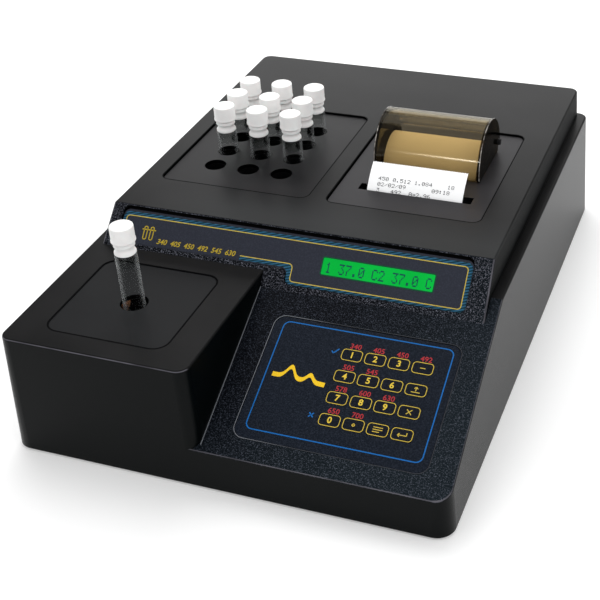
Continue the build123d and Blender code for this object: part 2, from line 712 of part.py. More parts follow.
def detector_board():
    """The photodiode board on the front of the cell block."""
    x = CELL_CENTRE_X
    back = CELL_CENTRE_Y - CELL_BLOCK_SIZE / 2
    half = DETECTOR_SIZE / 2
    board = box(x - half, x + half, back - BOARD_THICKNESS, back, BEAM_HEIGHT - half, BEAM_HEIGHT + half)
    front = back - BOARD_THICKNESS
    chip = box(x - 5, x + 5, front - 2.4, front, BEAM_HEIGHT - 12, BEAM_HEIGHT - 7)
    can = rod_y(4.2, front - 3, front, x, BEAM_HEIGHT)
    return board + chip + can


def bucket_ends():
    """The inner faces of the paper bucket's two end walls."""
    return ROLL_X - PAPER_WIDTH / 2 - 1, ROLL_X + PAPER_WIDTH / 2 + 1


def printer_panel():
    """The printer's top plate with the tear-off slot, the paper bucket and the hinge ears."""
    panel = top_panel(PRINTER_LEFT, PRINTER_RIGHT)
    left, right = bucket_ends()
    bucket = rod_x(BUCKET_RADIUS + BUCKET_WALL, left - BUCKET_WALL, right + BUCKET_WALL, ROLL_Y, ROLL_HEIGHT)
    bucket -= box(PRINTER_LEFT, PRINTER_RIGHT, 0, DEPTH, PANEL_BOTTOM + 1, TOP_HEIGHT + BUCKET_RADIUS)
    panel += bucket
    panel -= rod_x(BUCKET_RADIUS, left, right, ROLL_Y, ROLL_HEIGHT)
    notch = JOURNAL_RADIUS + TUBE_RUNNING_GAP
    panel -= rod_x(notch, left - BUCKET_WALL - 1, right + BUCKET_WALL + 1, ROLL_Y, ROLL_HEIGHT)
    panel -= box(
        left - BUCKET_WALL, right + BUCKET_WALL, ROLL_Y - notch, ROLL_Y + notch, ROLL_HEIGHT, TOP_HEIGHT
    )
    front, back = [ROLL_Y - ahead for ahead in EXIT_AHEAD]
    low, high = [ROLL_HEIGHT - below for below in EXIT_BELOW]
    panel -= box(left, right, front, back, low, high)
    slot = SLOT_WIDTH / 2
    panel -= box(ROLL_X - slot, ROLL_X + slot, SLOT_FRONT, SLOT_BACK, PANEL_BOTTOM - 1, PANEL_TOP + 1)
    for x0, x1 in ear_places():
        ear = rod_x(HINGE_EAR_RADIUS, x0, x1, HINGE_Y, HINGE_HEIGHT)
        ear += box(x0, x1, HINGE_Y - HINGE_EAR_RADIUS, HINGE_Y + HINGE_EAR_RADIUS, PANEL_BOTTOM, HINGE_HEIGHT)
        panel += ear - rod_x(HINGE_PIN_RADIUS, x0 - 1, x1 + 1, HINGE_Y, HINGE_HEIGHT)
    return panel


def ear_places():
    """The left and right faces of each hinge ear, just inside the cover's cheeks."""
    inset = COVER_WALL + SIDE_GAP
    left = COVER_LEFT + inset
    right = COVER_RIGHT - inset
    return [(left, left + HINGE_EAR_WIDTH), (right - HINGE_EAR_WIDTH, right)]


def cover_section(radius):
    """The D-shaped side view of the roll cover, with its hinge relief cut away."""
    disc = rod_x(radius, COVER_LEFT, COVER_RIGHT, COVER_Y, COVER_HEIGHT)
    low = PANEL_TOP + COVER_FOOT_GAP
    floor = box(COVER_LEFT - 1, COVER_RIGHT + 1, 0, DEPTH, COVER_HEIGHT - 2 * radius, low)
    relief = box(
        COVER_LEFT - 1, COVER_RIGHT + 1, HINGE_Y + HINGE_RELIEF / 2, DEPTH, 0, HINGE_HEIGHT - HINGE_RELIEF
    )
    return disc - floor - relief


def roll_cover():
    """The smoked cover: a curved shell with two cheeks, hinged at the back."""
    inner = rod_x(
        COVER_RADIUS - COVER_WALL, COVER_LEFT + COVER_WALL, COVER_RIGHT - COVER_WALL, COVER_Y, COVER_HEIGHT
    )
    shell = cover_section(COVER_RADIUS) - inner
    inside = (COVER_LEFT + COVER_WALL, COVER_RIGHT - COVER_WALL)
    shell -= box(*inside, HINGE_Y, DEPTH, 0, HINGE_HEIGHT + HINGE_CLEAR)
    for x0, x1 in ear_places():
        notch_top = HINGE_HEIGHT + HINGE_NOTCH
        shell -= box(x0 - SIDE_GAP, x1 + SIDE_GAP, HINGE_Y, DEPTH, 0, notch_top)
    return shell - rod_x(
        HINGE_PIN_RADIUS + HINGE_GAP, COVER_LEFT - 1, COVER_RIGHT + 1, HINGE_Y, HINGE_HEIGHT
    )


def cover_hinge_pins():
    """Two short pins pressed into the ears, their heads outside the cheeks."""
    pins = []
    (left, left_end), (right_end, right) = ear_places()
    outside = COVER_WALL + SIDE_GAP + 0.2
    for side, inner, ear in ((-1, left_end, left), (1, right_end, right)):
        head = ear + side * outside
        shank = rod_x(HINGE_PIN_RADIUS, *sorted((inner, head)), HINGE_Y, HINGE_HEIGHT)
        cap = rod_x(HINGE_HEAD_RADIUS, *sorted((head, head + side * HINGE_HEAD)), HINGE_Y, HINGE_HEIGHT)
        pins.append(shank + cap)
    return Compound(children=pins)


def paper_roll():
    """The wound thermal paper."""
    half = PAPER_WIDTH / 2
    roll = rod_x(ROLL_RADIUS, ROLL_X - half, ROLL_X + half, ROLL_Y, ROLL_HEIGHT)
    return roll - rod_x(CORE_RADIUS, ROLL_X - half - 1, ROLL_X + half + 1, ROLL_Y, ROLL_HEIGHT)


def roll_spindle():
    """The spindle through the roll, with a journal at each end."""
    left, right = bucket_ends()
    half = PAPER_WIDTH / 2 + 0.3
    spindle = rod_x(SPINDLE_RADIUS, ROLL_X - half, ROLL_X + half, ROLL_Y, ROLL_HEIGHT)
    return spindle + rod_x(JOURNAL_RADIUS, left - BUCKET_WALL, right + BUCKET_WALL, ROLL_Y, ROLL_HEIGHT)


def paper_strip():
    """The paper from the roll, round the platen, up the slot and free above it."""
    gap = PAPER_GAP + PAPER_THICKNESS / 2
    roll_radius = ROLL_RADIUS + gap
    platen_radius = PLATEN_RADIUS + gap
    run_y = ROLL_Y - PLATEN_Y
    run_z = ROLL_HEIGHT - PLATEN_HEIGHT
    distance = sqrt(run_y**2 + run_z**2)
    along = (platen_radius - roll_radius) / distance
    across = sqrt(1 - along**2)
    normal_y = (along * run_y + across * run_z) / distance
    normal_z = (along * run_z - across * run_y) / distance
    start = (ROLL_Y + roll_radius * normal_y, ROLL_HEIGHT + roll_radius * normal_z)
    touch = (PLATEN_Y + platen_radius * normal_y, PLATEN_HEIGHT + platen_radius * normal_z)
    leave = (PLATEN_Y - platen_radius, PLATEN_HEIGHT)
    bend = (leave[0], STRIP_BEND_HEIGHT)
    lean = radians(STRIP_LEAN)
    free = (bend[0] + STRIP_BEND_RADIUS * (1 - cos(lean)), bend[1] + STRIP_BEND_RADIUS * sin(lean))
    end = (STRIP_END_Y, STRIP_END_HEIGHT)
    path = Wire(
        [
            Edge.make_line(start, touch),
            Edge.make_tangent_arc(touch, (touch[0] - start[0], touch[1] - start[1]), leave),
            Edge.make_line(leave, bend),
            Edge.make_tangent_arc(bend, (0, 1), free),
            Edge.make_tangent_arc(free, (sin(lean), cos(lean)), end),
        ]
    )
    ribbon = trace(path, PAPER_THICKNESS)
    side = Plane(origin=(ROLL_X - PAPER_WIDTH / 2, 0, 0), x_dir=(0, 1, 0), z_dir=(1, 0, 0))
    return extrude(side * ribbon, amount=PAPER_WIDTH)


def mechanism_sides():
    """The inner faces of the printer mechanism's two side plates."""
    reach = PAPER_WIDTH / 2 + MECHANISM_SIDE_GAP
    return ROLL_X - reach, ROLL_X + reach


def printer_mechanism():
    """The print head between two side plates that hang from the printer panel."""
    left, right = mechanism_sides()
    head_back = PAPER_PATH_Y - PAPER_THICKNESS / 2 - PAPER_GAP
    front = head_back - HEAD_THICKNESS - 2
    guide = PLATEN_Y + PLATEN_RADIUS + 1.5
    guide_back = guide + GUIDE_THICKNESS
    head_top = PLATEN_HEIGHT + HEAD_RISE
    frame = box(left, right, head_back - HEAD_THICKNESS, head_back, MECHANISM_LOW + 3, head_top)
    frame += box(left, right, guide, guide_back, PLATEN_HEIGHT, head_top)
    for x in (left - MECHANISM_WALL, right):
        frame += box(x, x + MECHANISM_WALL, front, guide_back + 1, MECHANISM_LOW, PANEL_BOTTOM)
    drive_y = head_back - HEAD_THICKNESS / 2
    frame += rod_x(DRIVE_RADIUS, right - DRIVE_LENGTH, right, drive_y, MECHANISM_LOW - 1)
    bore = PLATEN_SHAFT_RADIUS + HINGE_GAP
    return frame - rod_x(bore, left - 5, right + 5, PLATEN_Y, PLATEN_HEIGHT)


def platen_roller():
    """The rubber roller that feeds the paper, with its shaft and drive gear."""
    left, right = mechanism_sides()
    half = PAPER_WIDTH / 2 + 1.5
    roller = rod_x(PLATEN_RADIUS, ROLL_X - half, ROLL_X + half, PLATEN_Y, PLATEN_HEIGHT)
    ends = (left - MECHANISM_WALL - 1, right + MECHANISM_WALL + 3)
    roller += rod_x(PLATEN_SHAFT_RADIUS, *ends, PLATEN_Y, PLATEN_HEIGHT)
    gear = right + MECHANISM_WALL + 0.4
    return roller + rod_x(PLATEN_RADIUS - 0.5, gear, gear + 2.4, PLATEN_Y, PLATEN_HEIGHT)


def fascia_outline(grow, head=0.0):
    """The stepped outline of the display strip, in the display plane, and the gap at its head."""
    left = FASCIA_LEFT - grow
    right = FASCIA_RIGHT + grow
    step = FASCIA_STEP_X - grow
    high = -FASCIA_TOP + grow + head
    low_left = -FASCIA_BOTTOM_LEFT - grow
    low_right = -FASCIA_BOTTOM_RIGHT - grow
    corners = [(left, high), (right, high), (right, low_right)]
    corners += [(step, low_right), (step, low_left), (left, low_left)]
    return make_face(FilletPolyline(*corners, radius=FASCIA_RADIUS, close=True))


def window_outline(grow):
    """The outline of the display window."""
    width = WINDOW_RIGHT - WINDOW_LEFT + 2 * grow
    height = WINDOW_BOTTOM - WINDOW_TOP + 2 * grow
    return Pos((WINDOW_LEFT + WINDOW_RIGHT) / 2, -(WINDOW_TOP + WINDOW_BOTTOM) / 2) * Rectangle(width, height)


def display_fascia():
    """The printed strip over the display."""
    return plate(DISPLAY_PLANE, fascia_outline(0), -FASCIA_SINK - FASCIA_THICKNESS, -FASCIA_SINK)


def lcd_module():
    """The display module behind its window: a metal bezel with a glass step, on its board."""
    bezel_end = -WALL - LCD_BEZEL_DEPTH
    board_end = bezel_end - BOARD_THICKNESS
    board_margin = LCD_BEZEL_MARGIN + LCD_BOARD_MARGIN
    module = plate(DISPLAY_PLANE, window_outline(LCD_BEZEL_MARGIN), bezel_end, -WALL)
    module -= plate(DISPLAY_PLANE, window_outline(WINDOW_MARGIN), -WALL - 1, -WALL + 1)
    board = plate(DISPLAY_PLANE, window_outline(board_margin), board_end, bezel_end)
    return module + board


def overlay_outline(grow):
    """The outline of the keypad overlay."""
    width = OVERLAY_RIGHT - OVERLAY_LEFT + 2 * grow
    height = OVERLAY_HIGH - OVERLAY_LOW + 2 * grow
    centre = Pos((OVERLAY_LEFT + OVERLAY_RIGHT) / 2, (OVERLAY_LOW + OVERLAY_HIGH) / 2)
    return centre * RectangleRounded(width, height, OVERLAY_RADIUS + grow)


def key_places():
    """The middle of each key, the top row first, with the key's number."""
    places = []
    for row in range(KEY_ROWS):
        for column in range(KEY_COLUMNS):
            up = KEY_LOW + (KEY_ROWS - 1 - row) * KEY_PITCH_UP
            places.append((row * KEY_COLUMNS + column + 1, KEY_LEFT + column * KEY_PITCH_X, up))
    return places


def key_outline(x, up, grow):
    """The outline of one key."""
    return Pos(x, up) * RectangleRounded(KEY_LENGTH + 2 * grow, KEY_WIDTH + 2 * grow, KEY_RADIUS + grow)


def keypad_overlay():
    """The printed overlay with a window for each key."""
    overlay = plate(KEYPAD_PLANE, overlay_outline(0), -OVERLAY_SINK - OVERLAY_THICKNESS, -OVERLAY_SINK)
    for _, x, up in key_places():
        overlay -= plate(KEYPAD_PLANE, key_outline(x, up, KEY_GAP), -2, 1)
    return overlay


def keypad_circuit():
    """The switch layer under the overlay, with a pocket below each key."""
    top = -OVERLAY_SINK - OVERLAY_THICKNESS
    circuit = plate(KEYPAD_PLANE, overlay_outline(0), top - CIRCUIT_THICKNESS, top)
    for _, x, up in key_places():
        circuit -= plate(KEYPAD_PLANE, key_outline(x, up, KEY_GAP), top - KEY_POCKET_DEPTH, top + 1)
    return circuit


def key(x, up):
    """One key pad."""
    top = KEY_PROUD - OVERLAY_SINK
    return plate(KEYPAD_PLANE, key_outline(x, up, 0), top - KEY_THICKNESS, top)


def rear_outline(grow):
    """The outline of the opening in the rear wall."""
    width = REAR_RIGHT - REAR_LEFT + 2 * grow
    height = REAR_HIGH - REAR_LOW + 2 * grow
    return Pos((REAR_LEFT + REAR_RIGHT) / 2, (REAR_LOW + REAR_HIGH) / 2) * Rectangle(width, height)


def rear_panel():
    """The metal plate behind the opening in the rear wall."""
    panel = plate(REAR_PLANE, rear_outline(REAR_OVERLAP), WALL, WALL + REAR_PLATE)
    inlet = Pos(INLET_X, INLET_UP) * Rectangle(INLET_BODY[0] + 0.6, INLET_BODY[1] + 0.6)
    port = Pos(PORT_X, PORT_UP) * Rectangle(PORT_SHELL[0] + 0.6, PORT_SHELL[1] + 0.6)
    return panel - plate(REAR_PLANE, inlet, 0, 10) - plate(REAR_PLANE, port, 0, 10)


def power_inlet():
    """The mains inlet with its three pins, and the frame of the rocker switch."""
    face = WALL - INLET_FLANGE[2]
    flange = plate(REAR_PLANE, Pos(INLET_X, INLET_UP) * RectangleRounded(*INLET_FLANGE[:2], 2.0), face, WALL)
    body = plate(REAR_PLANE, Pos(INLET_X, INLET_UP) * Rectangle(*INLET_BODY[:2]), WALL, WALL + INLET_BODY[2])
    inlet = flange + body
    middle = Pos(INLET_X + SOCKET_OFFSET, INLET_UP)
    socket = middle * RectangleRounded(SOCKET_SIZE[0], SOCKET_SIZE[1], 3.0)
    floor = face + SOCKET_SIZE[2]
    inlet -= plate(REAR_PLANE, socket, face - 1, floor)
    for x, y in ((-PIN_PITCH, -1.5), (0, 3.0), (PIN_PITCH, -1.5)):
        pin = middle * Pos(x, y) * Rectangle(PIN_SIZE[0], PIN_SIZE[1])
        inlet += plate(REAR_PLANE, pin, floor - PIN_SIZE[2], floor + 1)
    slot = Rectangle(2 * (ROCKER_RADIUS + ROCKER_GAP), ROCKER_WIDTH)
    pocket = Pos(INLET_X + ROCKER_OFFSET, INLET_UP) * slot
    inlet -= plate(REAR_PLANE, pocket, face - 1, face + ROCKER_POCKET + ROCKER_RADIUS / 2)
    return inlet - rocker_place() * trunnions(HINGE_GAP)


def rocker_place():
    """The pivot of the rocker: X across, Y up the rear wall, Z into the instrument."""
    face = WALL - INLET_FLANGE[2]
    return REAR_PLANE.location * Pos(INLET_X + ROCKER_OFFSET, INLET_UP, face + ROCKER_HEIGHT + 0.8)


def trunnions(grow):
    """The two pivot stubs of the rocker, or the bores that hold them."""
    return Rot(90, 0, 0) * Cylinder(1.5 + grow, ROCKER_WIDTH + 3 + 2 * grow)


def power_rocker():
    """The rocker, resting with its off side pressed in."""
    reach = ROCKER_RADIUS + 1
    high = ROCKER_HEIGHT + reach * tan(radians(ROCKER_TILT))
    outline = [(-reach, -high), (0, -ROCKER_HEIGHT), (reach, -high), (reach, 3), (-reach, 3)]
    half = ROCKER_WIDTH / 2 - ROCKER_GAP
    face = make_face(Polyline(*[(x, -half, z) for x, z in outline], close=True))
    rocker = extrude(face, amount=2 * half, dir=(0, 1, 0))
    rocker &= Rot(90, 0, 0) * Cylinder(ROCKER_RADIUS, ROCKER_WIDTH)
    rocker += trunnions(0)
    return rocker_place() * Rot(0, ROCKER_TILT, 0) * rocker


def serial_port():
    """The nine-way port: a flange inside the rear panel and a shell through it."""
    middle = Pos(PORT_X, PORT_UP)
    inside = WALL + REAR_PLATE
    outside = inside - PORT_SHELL[2]
    flange = middle * RectangleRounded(*PORT_FLANGE[:2], 1.5)
    shell = middle * RectangleRounded(*PORT_SHELL[:2], 2.5)
    port = plate(REAR_PLANE, flange, inside, inside + PORT_FLANGE[2])
    port += plate(REAR_PLANE, shell, outside, inside)
    port += plate(REAR_PLANE, middle * Rectangle(*PORT_SHELL[:2]), inside, inside + PORT_BODY_DEPTH)
    for row, count in ((1, 5), (-1, 4)):
        for index in range(count):
            x = (index - (count - 1) / 2) * CONTACT_PITCH
            hole = middle * Pos(x, row * CONTACT_ROW) * Circle(CONTACT_RADIUS)
            port -= plate(REAR_PLANE, hole, outside - 1, inside)
    return port


def board_standoffs():
    """Six posts that carry the main board."""
    left, front, right, back = MAIN_BOARD
    posts = []
    for x in (left + BOARD_MARGIN, right - BOARD_MARGIN):
        for y in (front + BOARD_MARGIN, (front + back) / 2, back - BOARD_MARGIN):
            posts.append(rod_z(STANDOFF_RADIUS, BASE_TOP, BASE_TOP + STANDOFF_HEIGHT, x, y))
    return Compound(children=posts)


def main_board():
    """The processor board with its larger components."""
    left, front, right, back = MAIN_BOARD
    board = rounded_box(left, right, front, back, BOARD_TOP - BOARD_THICKNESS, BOARD_TOP, 2.0)
    for (x, y), (length, width, height) in zip(CHIP_PLACES, CHIP_SIZES):
        board += Pos(left + x, front + y, BOARD_TOP + height / 2) * Box(length, width, height)
    for index in range(CAN_COUNT):
        x = left + CAN_FROM_LEFT + index * CAN_PITCH
        board += Pos(x, back - CAN_FROM_BACK, BOARD_TOP + CAN_HEIGHT / 2) * Cylinder(CAN_RADIUS, CAN_HEIGHT)
    for x in (left + 6, right - 6):
        board += Pos(x, (front + back) / 2, BOARD_TOP + 3.5) * Box(6, 45, 7)
    board += Pos((left + right) / 2, back - 9, BOARD_TOP + 4) * Box(60, 6, 8)
    return board


def power_transformer():
    """The mains transformer: laminated core, two windings' bobbin and mounting feet."""
    length, width, height = TRANSFORMER_SIZE
    x, y = TRANSFORMER_X, TRANSFORMER_Y
    top = BASE_TOP + height
    core = box(x - length / 2, x + length / 2, y - width / 4, y + width / 4, BASE_TOP, top)
    coil = box(x - length / 4, x + length / 4, y - width / 2, y + width / 2, BASE_TOP + 7, top - 7)
    coil = fillet(coil.edges().filter_by(Axis.Z), 4)
    reach = length / 2 + 9
    feet = box(x - reach, x + reach, y - width / 5, y + width / 5, BASE_TOP, BASE_TOP + 2)
    for side in (-1, 1):
        feet -= rod_z(2.0, BASE_TOP - 1, BASE_TOP + 3, x + side * (length / 2 + 5), y)
    return core + coil + feet


def build():
    """Every named sub-part."""
    parts = {
        "housing_cover": housing_cover(),
        "base_plate": base_plate(),
        "rubber_feet": rubber_feet(),
        "base_screws": base_screws(),
        "incubator_panel": incubator_panel(),
        "incubator_block": incubator_block(),
        "heater_pad": heater_pad(),
        "cell_cover": cell_cover(),
        "cell_block": cell_block(),
        "cell_clip": cell_clip(),
        "cell_tube": glass_tube(CELL_CENTRE_X, CELL_CENTRE_Y, CELL_RIM_HEIGHT),
        "cell_cap": stopper(CELL_CENTRE_X, CELL_CENTRE_Y, CELL_RIM_HEIGHT),
        "filter_wheel": filter_wheel(),
        "filter_motor": filter_motor(),
        "lamp_module": lamp_module(),
        "detector_board": detector_board(),
        "printer_panel": printer_panel(),
        "printer_mechanism": printer_mechanism(),
        "platen_roller": platen_roller(),
        "paper_roll": paper_roll(),
        "roll_spindle": roll_spindle(),
        "paper_strip": paper_strip(),
        "roll_cover": roll_cover(),
        "cover_hinge_pins": cover_hinge_pins(),
        "display_fascia": display_fascia(),
        "lcd_module": lcd_module(),
        "keypad_overlay": keypad_overlay(),
        "keypad_circuit": keypad_circuit(),
        "rear_panel": rear_panel(),
        "power_inlet": power_inlet(),
        "power_rocker": power_rocker(),
        "serial_port": serial_port(),
        "board_standoffs": board_standoffs(),
        "main_board": main_board(),
        "power_transformer": power_transformer(),
    }
    for number, x, up in key_places():
        parts["key_" + str(number)] = key(x, up)
    occupied = well_places()[WELL_COLUMNS:]
    for number, (x, y) in enumerate(occupied, start=1):
        parts["stoppered_tube_" + str(number)] = stoppered_tube(x, y)
    return parts


os.makedirs("parts", exist_ok=True)
for part_name, solid in build().items():
    save(part_name, solid)
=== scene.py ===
from functools import partial
from math import cos, exp, pi, radians, sin

import bmesh
import bpy
from mathutils import Matrix, Vector


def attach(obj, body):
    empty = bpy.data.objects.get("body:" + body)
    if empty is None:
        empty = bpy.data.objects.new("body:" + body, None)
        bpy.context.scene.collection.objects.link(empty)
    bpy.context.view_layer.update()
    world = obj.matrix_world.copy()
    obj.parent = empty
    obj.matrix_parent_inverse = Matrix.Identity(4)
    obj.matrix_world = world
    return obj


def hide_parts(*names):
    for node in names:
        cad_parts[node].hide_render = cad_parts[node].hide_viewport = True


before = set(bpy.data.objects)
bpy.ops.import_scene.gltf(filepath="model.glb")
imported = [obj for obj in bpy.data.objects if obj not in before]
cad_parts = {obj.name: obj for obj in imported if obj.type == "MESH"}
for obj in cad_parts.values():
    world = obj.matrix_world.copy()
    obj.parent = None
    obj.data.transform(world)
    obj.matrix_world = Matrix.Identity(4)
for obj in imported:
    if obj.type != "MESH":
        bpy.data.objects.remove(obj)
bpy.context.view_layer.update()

# Sizes are in millimetres where no comment says metres, with Y from the housing's front edge.
MM = 0.001
MIDDLE = 173.5

HOUSING_TOP, BLOCK_TOP = 90.5, 72.4
MEASURING_CELL = (-67.8, 53)
TUBE_LENGTH, TUBE_RIM = 75, 104.2
FIRST_WELL, WELL_PITCH = (-77.5, 198.9), (21.9, 19.5)
ROLL_MIDDLE, ROLL_AXIS, ROLL_RADIUS = 51.6, (223.0, 84.6), 18.825
PLATEN_AXIS, PLATEN_RADIUS = (181.125, 77.0), 5.825
COVER_HALF, COVER_AXIS, COVER_RIM = 33.0, (223, 94.5), 23.75
INK = 0.04

# Two places nearer than this, in metres, are one
SAME = 1e-6

# The sides of a round piece, and the turn past which its shading is sharp
ROUND_SIDES, SHARP_TURN = 48, radians(32)


def spot(x, y, z):
    """A point on the instrument, in metres."""
    return Vector((x * MM, (y - MIDDLE) * MM, z * MM))


# Camera, fitted to the photograph, with its place in metres

CAMERA_PLACE = (0.24665, -0.58649, 0.44026)
CAMERA_AZIMUTH = radians(20.42)
CAMERA_ELEVATION = radians(33.56)
CAMERA_ROLL = radians(-2.397)
CAMERA_LENS = 73.304
CAMERA_SHIFT = (-0.1312, -0.0274)


def set_up_camera():
    camera = bpy.data.objects.new("camera", bpy.data.cameras.new("camera"))
    bpy.context.scene.collection.objects.link(camera)
    flat = cos(CAMERA_ELEVATION)
    back = Vector((sin(CAMERA_AZIMUTH) * flat, -cos(CAMERA_AZIMUTH) * flat, sin(CAMERA_ELEVATION)))
    turn = back.to_track_quat("Z", "Y").to_matrix().to_4x4() @ Matrix.Rotation(CAMERA_ROLL, 4, "Z")
    camera.matrix_world = Matrix.Translation(CAMERA_PLACE) @ turn
    camera.data.sensor_width = 36
    camera.data.lens = CAMERA_LENS
    camera.data.shift_x, camera.data.shift_y = CAMERA_SHIFT
    camera.data.clip_start, camera.data.clip_end = 0.02, 20
    bpy.context.scene.camera = camera


def board_at(place, up):
    """A drawing board from a place in metres: X across, Y this way up and Z outwards."""
    across = Vector((1, 0, 0))
    out = across.cross(up)
    return Matrix((
        (across.x, up.x, out.x, place.x),
        (across.y, up.y, out.y, place.y),
        (across.z, up.z, out.z, place.z),
        (0, 0, 0, 1),
    ))


def sloping_board(y, z, angle, lift):
    """The drawing board that lies this far above a sloping face, from this place on it."""
    up = Vector((0, cos(radians(angle)), sin(radians(angle))))
    out = Vector((1, 0, 0)).cross(up)
    return board_at(spot(0, y, z) + out * lift * MM, up)


# A place on the keypad's slope, and its angle
SLOPE = (1.106, 24.4, 23.7)
DISPLAY_BOARD = sloping_board(120.4, HOUSING_TOP, 44.4, -1.2)
KEYPAD_BOARD = sloping_board(*SLOPE, -0.3)
KEY_BOARD = sloping_board(*SLOPE, -0.2)
KEYPAD_FACE = sloping_board(*SLOPE, 0.0)


# Materials

class Nodes:
    """Makes and links the nodes of one tree."""

    def __init__(self, tree):
        self.nodes, self.links = tree.nodes, tree.links

    def feed(self, socket, value):
        """Give a socket a number, a colour or another node's output."""
        if isinstance(value, bpy.types.NodeSocket):
            self.links.new(value, socket)
        else:
            socket.default_value = value

    def node(self, kind, inputs, **settings):
        made = self.nodes.new(kind)
        for key, value in settings.items():
            setattr(made, key, value)
        for key, value in inputs.items():
            self.feed(made.inputs[key], value)
        return made

    def maths(self, kind, a, b=0.0):
        return self.node("ShaderNodeMath", {0: a, 1: b}, operation=kind).outputs[0]

    def vector_maths(self, kind, a, b, output):
        return self.node("ShaderNodeVectorMath", {0: a, 1: b}, operation=kind).outputs[output]

    def split(self, vector):
        """The X, Y and Z of a vector."""
        return self.node("ShaderNodeSeparateXYZ", {"Vector": vector}).outputs

    def span(self, value, low, high, new_low=0.0, new_high=1.0):
        """Stretch a value so that low to high becomes the new range."""
        ranges = {"From Min": low, "From Max": high, "To Min": new_low, "To Max": new_high}
        return self.node("ShaderNodeMapRange", {"Value": value, **ranges}).outputs[0]

    def past(self, value, start, end):
        """0 before the start and 1 past the end, both in millimetres."""
        return self.span(value, start * MM, end * MM)

    def seen(self):
        """1 for what is seen straight, in gloss or through glass, and 0 for other light."""
        path = self.nodes.new("ShaderNodeLightPath").outputs
        straight = self.maths("MAXIMUM", path["Is Camera Ray"], path["Is Glossy Ray"])
        return self.maths("MAXIMUM", straight, path["Is Transmission Ray"])


# The sockets of a Mix node for colours: its two colours, and the result
MIX_FIRST, MIX_SECOND, MIX_RESULT = 6, 7, 2


class Finish(Nodes):
    """A material built up from one shader and the place on the object."""

    def __init__(self, name, colour, roughness, metallic=0.0, specular=0.5):
        self.material = bpy.data.materials.new(name)
        self.material.use_nodes = True
        super().__init__(self.material.node_tree)
        self.shader = self.nodes["Principled BSDF"]
        self.place = self.nodes.new("ShaderNodeTexCoord").outputs["Object"]
        self.set("Base Color", (*colour, 1.0))
        self.set("Roughness", roughness)
        self.set("Metallic", metallic)
        self.set("Specular IOR Level", specular)

    def set(self, socket, value):
        """Feed one of the shader's sockets."""
        self.feed(self.shader.inputs[socket], value)

    def noise(self, size, detail=2.0, roughness=0.5, stretch=(1, 1, 1)):
        """Soft random patches about as large as the size, in millimetres."""
        place = self.node("ShaderNodeMapping", {"Vector": self.place, "Scale": stretch}).outputs[0]
        inputs = {
            "Vector": place, "Scale": 1 / (size * MM), "Detail": detail, "Roughness": roughness,
        }
        return self.node("ShaderNodeTexNoise", inputs).outputs["Fac"]

    def blend(self, share, a, b):
        """The first colour where the share is 0 and the second where it is 1."""
        made = self.node("ShaderNodeMix", {0: share}, data_type="RGBA")
        for socket, colour in ((MIX_FIRST, a), (MIX_SECOND, b)):
            self.feed(made.inputs[socket], (*colour, 1.0) if isinstance(colour, tuple) else colour)
        return made.outputs[MIX_RESULT]

    def tones(self, share, a, b):
        """Colour the surface between two tones."""
        self.set("Base Color", self.blend(share, a, b))

    def relief(self, height, depth, strength):
        """Raise the surface by a height pattern, this many millimetres deep."""
        inputs = {"Height": height, "Distance": depth * MM, "Strength": strength}
        self.set("Normal", self.node("ShaderNodeBump", inputs).outputs[0])

    def see_through(self, tint, least, power=5.0):
        """Let light straight through with a tint, and mirror more of it towards the edges."""
        tint = (*tint, 1.0) if isinstance(tint, tuple) else tint
        clear = self.node("ShaderNodeBsdfTransparent", {"Color": tint}).outputs[0]
        facing = self.node("ShaderNodeLayerWeight", {"Blend": 0.5}).outputs["Facing"]
        share = self.span(self.maths("POWER", facing, power), 0.0, 1.0, least, 1.0)
        shaders = {0: share, 1: clear, 2: self.shader.outputs[0]}
        mixed = self.node("ShaderNodeMixShader", shaders).outputs[0]
        self.links.new(mixed, self.nodes["Material Output"].inputs["Surface"])


DEEPEST_RECESS = 4


def sunken(finish, normal, board, depth):
    """1 on the floor of the recess that lies this deep under a drawing board, and 0 elsewhere."""
    both = partial(finish.maths, "MULTIPLY")
    out, place = board.col[2].xyz, board.translation
    facing = finish.vector_maths("DOT_PRODUCT", normal, out, "Value")
    above = finish.vector_maths("SUBTRACT", finish.place, place, "Vector")
    height = finish.vector_maths("DOT_PRODUCT", above, out, "Value")
    below_top = finish.past(height, -depth, -(depth + 0.1))
    not_inside = finish.past(height, -DEEPEST_RECESS, -(DEEPEST_RECESS - 0.1))
    return both(finish.span(facing, 0.97, 0.99), both(below_top, not_inside))


